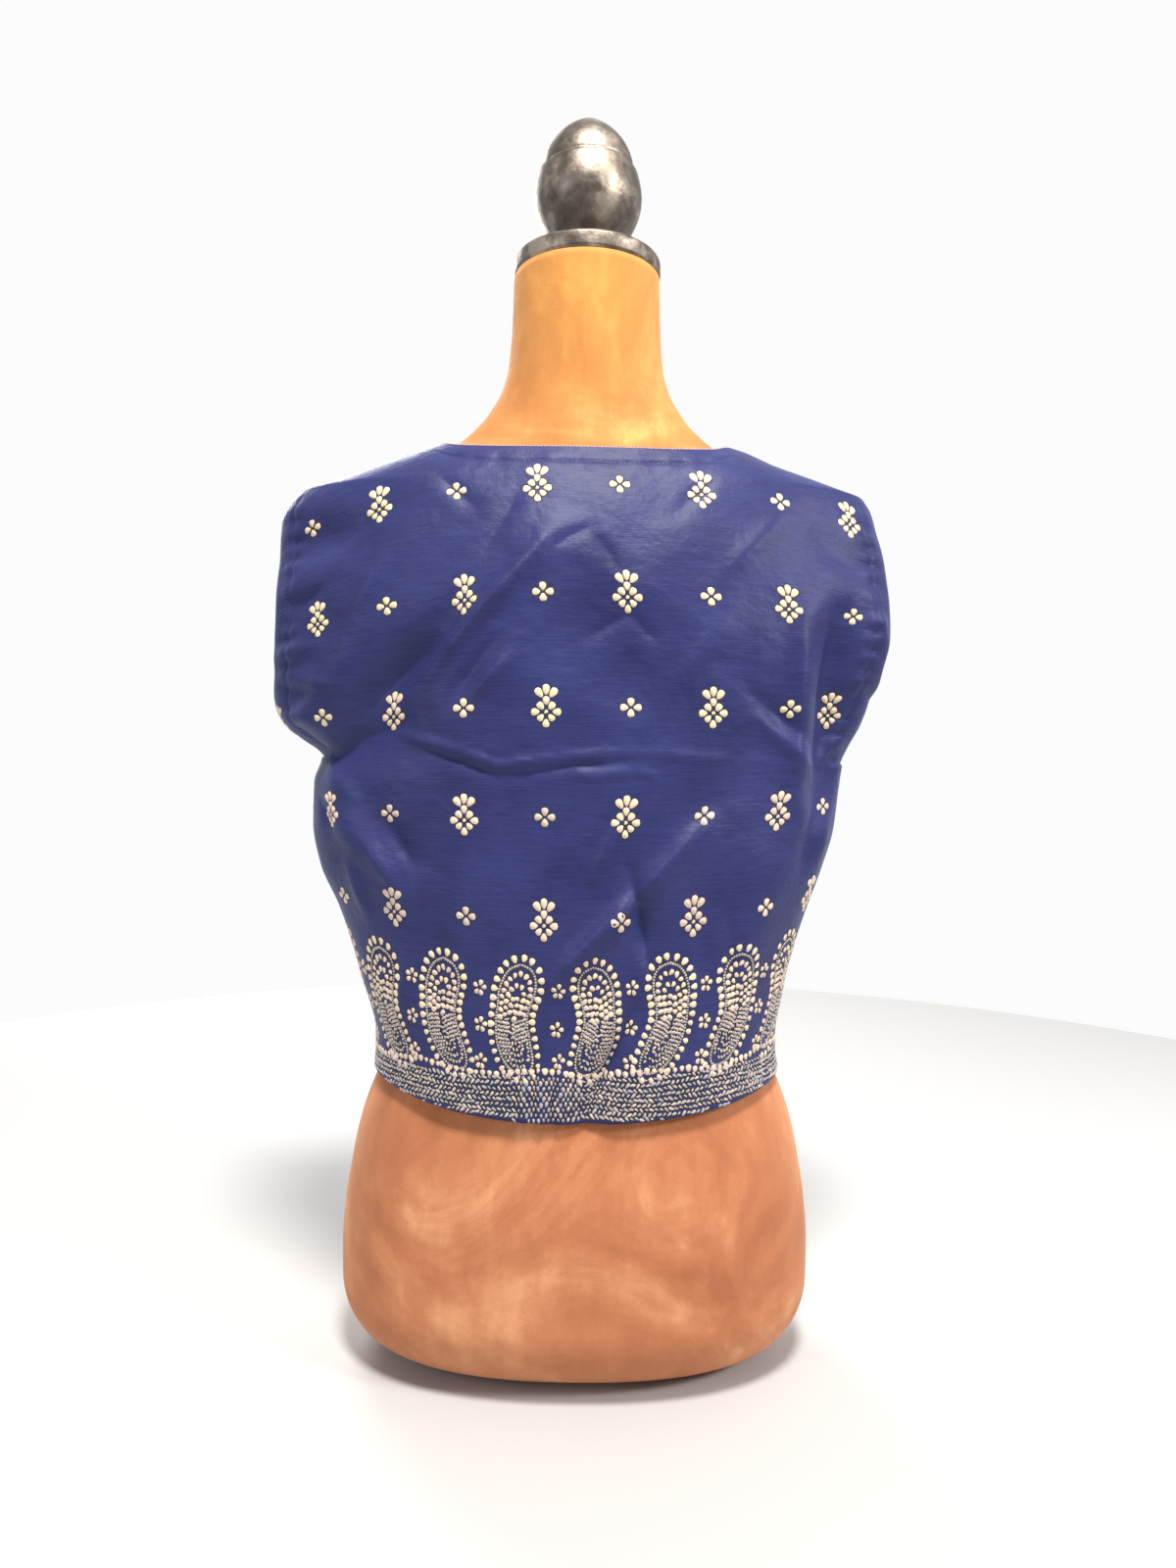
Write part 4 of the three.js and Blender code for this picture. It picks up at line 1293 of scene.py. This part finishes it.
def gold_thread(name, light, warm, deep):
    """Cream and pale gold thread, laid side by side in close satin stitches."""
    material, tree, shader = new_material(name)
    tone = add_node(tree, "ShaderNodeAttribute", attribute_name="tone").outputs["Fac"]
    own = add_node(tree, "ShaderNodeAttribute", attribute_name="along").outputs["Vector"]
    color = ramp(tree, tone, ((0.0, light), (0.45, warm), (1.0, deep)))
    plug(tree, shader, {
        "Base Color": color,
        "Normal": bump(tree, threads(tree, own, 620.0, "X", 1.0), 0.35, 0.0002),
        "Roughness": 0.42,
        "Specular IOR Level": 0.6,
        "Sheen Weight": 0.25,
    })
    return material


def plain_thread(name, color, roughness):
    material, tree, shader = new_material(name)
    own = add_node(tree, "ShaderNodeTexCoord").outputs["Object"]
    grain = noise(tree, own, 900.0, 2.0)
    dark, pale = (tuple(share * part for part in color) for share in (0.8, 1.2))
    shade = ramp(tree, grain, ((0.3, dark), (0.7, pale)))
    plug(tree, shader, {"Base Color": shade, "Roughness": roughness})
    return material


def pink_facing():
    """Pale pink plain-weave facing."""
    material, tree, shader = new_material("pink_facing")
    flat = add_node(tree, "ShaderNodeUVMap", uv_map="flat").outputs["UV"]
    warp, weft = (threads(tree, flat, 560.0, way) for way in ("X", "Y"))
    weave = add_node(tree, "ShaderNodeMath", {0: warp, 1: weft}, operation="MULTIPLY").outputs[0]
    color = ramp(tree, weave, ((0.0, (0.70, 0.40, 0.36)), (0.6, (0.90, 0.62, 0.57))))
    plug(tree, shader, {"Base Color": color, "Normal": bump(tree, weave, 0.3, 0.0003), "Roughness": 0.85})
    return material


def brushed_velvet():
    """Tan velvet with a short nap, brushed lighter and darker in soft patches and strokes, with painted
    light lifting it towards the neck.
    """
    material, tree, shader = new_material("brushed_velvet")
    own = add_node(tree, "ShaderNodeTexCoord").outputs["Object"]
    patches = add_node(tree, "ShaderNodeTexNoise", {"Vector": own, "Scale": 8.5, "Detail": 7.0,
                                                    "Roughness": 0.6, "Distortion": 1.1}).outputs["Fac"]
    strokes = noise(tree, stretched(tree, own, (60, 60, 22)), 1.0, 4.0, 0.6)
    both = add_node(tree, "ShaderNodeMix", {"Factor": 0.22, "A": patches, "B": strokes}, data_type="FLOAT")
    mottle = ramp(tree, both.outputs["Result"], (
        (0.38, (0.39, 0.130, 0.058)),
        (0.50, (0.49, 0.175, 0.079)),
        (0.57, (0.56, 0.220, 0.103)),
        (0.66, (0.69, 0.320, 0.160)),
    ))
    # Painted light: from 0.45 m up to the neck the colour is multiplied brighter and more yellow, standing
    # for the top light falling there.
    height = add_node(tree, "ShaderNodeSeparateXYZ", {"Vector": own}).outputs["Z"]
    neck = add_node(tree, "ShaderNodeMapRange", {"Value": height, "From Min": 0.45, "From Max": 0.75})
    painted_neck_light = ramp(tree, neck.outputs["Result"], ((0.0, (1.0, 1.0, 1.0)), (1.0, (1.3, 1.55, 0.82))))
    color = add_node(tree, "ShaderNodeMix", {"Factor": 1.0}, data_type="RGBA", blend_type="MULTIPLY")
    plug(tree, color, {COLOR_A: mottle, COLOR_B: painted_neck_light})
    nap = bump(tree, noise(tree, own, 1400.0, 3.0, 0.7), 0.5, 0.0006)
    plug(tree, shader, {
        "Base Color": color.outputs[COLOR_RESULT],
        "Normal": bump(tree, strokes, 0.12, 0.002, nap),
        "Roughness": 0.9,
        "Specular IOR Level": 0.2,
        "Sheen Weight": 0.35,
        "Sheen Roughness": 0.5,
        "Sheen Tint": (1.0, 0.66, 0.42, 1),
    })
    return material


def hammered_metal():
    """Dark cast metal with small hammer marks and paler, rubbed high spots."""
    material, tree, shader = new_material("hammered_metal")
    own = add_node(tree, "ShaderNodeTexCoord").outputs["Object"]
    marks = noise(tree, own, 150.0, 2.0, 0.5)
    rubs = noise(tree, own, 38.0, 5.0, 0.6)
    color = ramp(tree, rubs, (
        (0.36, (0.130, 0.108, 0.092)),
        (0.50, (0.210, 0.178, 0.150)),
        (0.62, (0.460, 0.395, 0.320)),
    ))
    rough = ramp(tree, marks, ((0.3, (0.42, 0.42, 0.42)), (0.7, (0.55, 0.55, 0.55))))
    normal = bump(tree, marks, 0.4, 0.0012)
    plug(tree, shader, {"Base Color": color, "Roughness": rough, "Normal": normal, "Metallic": 1.0})
    return material


def plain_floor():
    material, tree, shader = new_material("plain_floor")
    plug(tree, shader, {"Base Color": (0.56, 0.56, 0.56, 1), "Roughness": 0.9, "Specular IOR Level": 0.1})
    return material


# ------------------------------------------------------------------ stage, light and camera

CAMERA_HEIGHT = 0.418
CAMERA_DISTANCE = 0.770
CAMERA_ASIDE = -0.0055
CAMERA_LENS = 24.0
CAMERA_PITCH = -0.8
CAMERA_ROLL = 0.74

FLOOR_RADIUS = 1300
FLOOR_DROP = 0.4
LIT_POINT = (0, 0, 0.5)


def lay_floor():
    bm = bmesh.new()
    bmesh.ops.create_circle(bm, cap_ends=True, radius=FLOOR_RADIUS, segments=96)
    bmesh.ops.translate(bm, vec=(0, 0, -FLOOR_DROP), verts=bm.verts)
    floor = mesh_object("floor", bm, plain_floor(), smooth=False)


def soft_light(name, place, size, watts, color):
    lamp = bpy.data.lights.new(name, "AREA")
    lamp.shape = "DISK"
    lamp.size = size
    lamp.energy = watts
    lamp.color = color
    holder = bpy.data.objects.new(name, lamp)
    holder.location = place
    aim = Vector(place) - Vector(LIT_POINT)
    holder.rotation_euler = aim.to_track_quat("Z", "Y").to_euler()
    bpy.context.scene.collection.objects.link(holder)


def set_lights():
    soft_light("key", (-0.1, 0.95, 2.3), 0.45, 64, (1.0, 0.97, 0.92))
    soft_light("side", (-1.7, 1.0, 1.4), 0.4, 30, (1.0, 0.98, 0.96))
    soft_light("fill", (1.5, 1.4, 1.0), 1.2, 11, (0.95, 0.97, 1.0))
    soft_light("front", (0.9, -1.8, 1.6), 1.2, 40, (1.0, 0.98, 0.95))
    world = bpy.data.worlds.new("pale_room")
    world.use_nodes = True
    tree = world.node_tree
    way = add_node(tree, "ShaderNodeTexCoord").outputs["Generated"]
    back_to_front = add_node(tree, "ShaderNodeSeparateXYZ", {"Vector": way}).outputs["Y"]
    strength = add_node(tree, "ShaderNodeMapRange", {
        "Value": back_to_front, "From Min": -0.7, "From Max": 0.4, "To Min": 0.97, "To Max": 0.12})
    plug(tree, tree.nodes["Background"], {"Color": (1, 1, 1, 1), "Strength": strength.outputs["Result"]})
    bpy.context.scene.world = world
    bpy.context.scene.view_settings.view_transform = "Standard"


def set_camera():
    lens = bpy.data.cameras.new("camera")
    lens.lens = CAMERA_LENS
    lens.sensor_width = 36.0
    lens.clip_start = 0.05
    lens.clip_end = 50.0
    holder = bpy.data.objects.new("camera", lens)
    turn = Matrix.Rotation(math.pi, 4, "Z") @ Matrix.Rotation(math.radians(90 + CAMERA_PITCH), 4, "X")
    roll = Matrix.Rotation(math.radians(CAMERA_ROLL), 4, "Z")
    place = Matrix.Translation((CAMERA_ASIDE, CAMERA_DISTANCE, CAMERA_HEIGHT))
    holder.matrix_world = place @ turn @ roll
    bpy.context.scene.collection.objects.link(holder)
    bpy.context.scene.camera = holder


# ------------------------------------------------------------------ assembly


def dress(panel, cloth, cream, shade, thread, pink, chance):
    """One half of the garment: its panel, facings, woven pattern and stitching."""
    half = panel.half
    side = half["name"]
    node = side + "_panel"
    shell = panel_piece(side + "_cloth", panel, cloth)
    leaf, disc = leaf_template(12), disc_template(12)
    small, small_disc = leaf_template(8), disc_template(8)
    sprigs = sprig_leaves(chance)
    border = border_leaves(chance)
    band = band_leaves(chance)
    laid = [
        lay_leaves(side + "_sprig_outlines", panel, sprigs, OUTLINE_RISE, SPRIG_OUTLINE, disc, shade),
        lay_leaves(side + "_sprigs", panel, sprigs, LEAF_RISE, 0, leaf, cream),
        lay_leaves(side + "_border_outlines", panel, border + band, OUTLINE_RISE, BORDER_OUTLINE,
                   small_disc, shade),
        lay_leaves(side + "_paisleys", panel, border, LEAF_RISE, 0, small, cream),
        lay_leaves(side + "_hem_band", panel, band, LEAF_RISE, 0, small, cream),
    ]
    for line_name, line in edge_lines(panel).items():
        laid.append(stitch_line(f"{side}_{line_name}_stitches", panel, line, STITCH_PITCH, thread))
    columns = slice(half["shoulder_columns"] + 2, half["shoulder_columns"] + half["neck_columns"] - 1)
    neck_line = panel.flat[-1, columns] - [0, FACING_EDGE]
    pale_edge = stitch_line(side + "_neck_edge", panel, neck_line, EDGE_PITCH, pink, EDGE_SHARE)
    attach(pale_edge, "root")
    facings = {"neck": neck_facing(panel, pink)}
    for hand in ("left", "right"):
        facings["sleeve_" + hand] = sleeve_facing(panel, hand, pink)
    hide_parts(node)
    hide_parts("neck_facing_" + side)
    for hand in ("left", "right"):
        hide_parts(f"sleeve_facing_{hand}_{side}")
    for piece in [shell, *laid]:
        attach(piece, "root")
    for piece in facings.values():
        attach(piece, "root")


def main():
    set_camera()
    chance = np.random.default_rng(7)
    velvet, metal = brushed_velvet(), hammered_metal()
    form = form_piece(velvet)
    cap, finial = cap_piece(metal), finial_piece(metal)
    for piece, node, slot_name in ((form, "form_torso", "suede"), (cap, "cap_plate", "metal"),
                                   (finial, "cap_finial", "metal")):
        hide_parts(node)
        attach(piece, "root")
    cloth = satin_brocade()
    cream = gold_thread("gold_thread", (0.84, 0.72, 0.42), (0.80, 0.60, 0.47), (0.33, 0.31, 0.34))
    shade = plain_thread("dark_outline", (0.020, 0.019, 0.024), 0.8)
    thread = plain_thread("navy_thread", (0.035, 0.04, 0.16), 0.6)
    pink = pink_facing()
    for half in (BACK, FRONT):
        dress(Panel(half), cloth, cream, shade, thread, pink, chance)
    lay_floor()
    set_lights()


main()
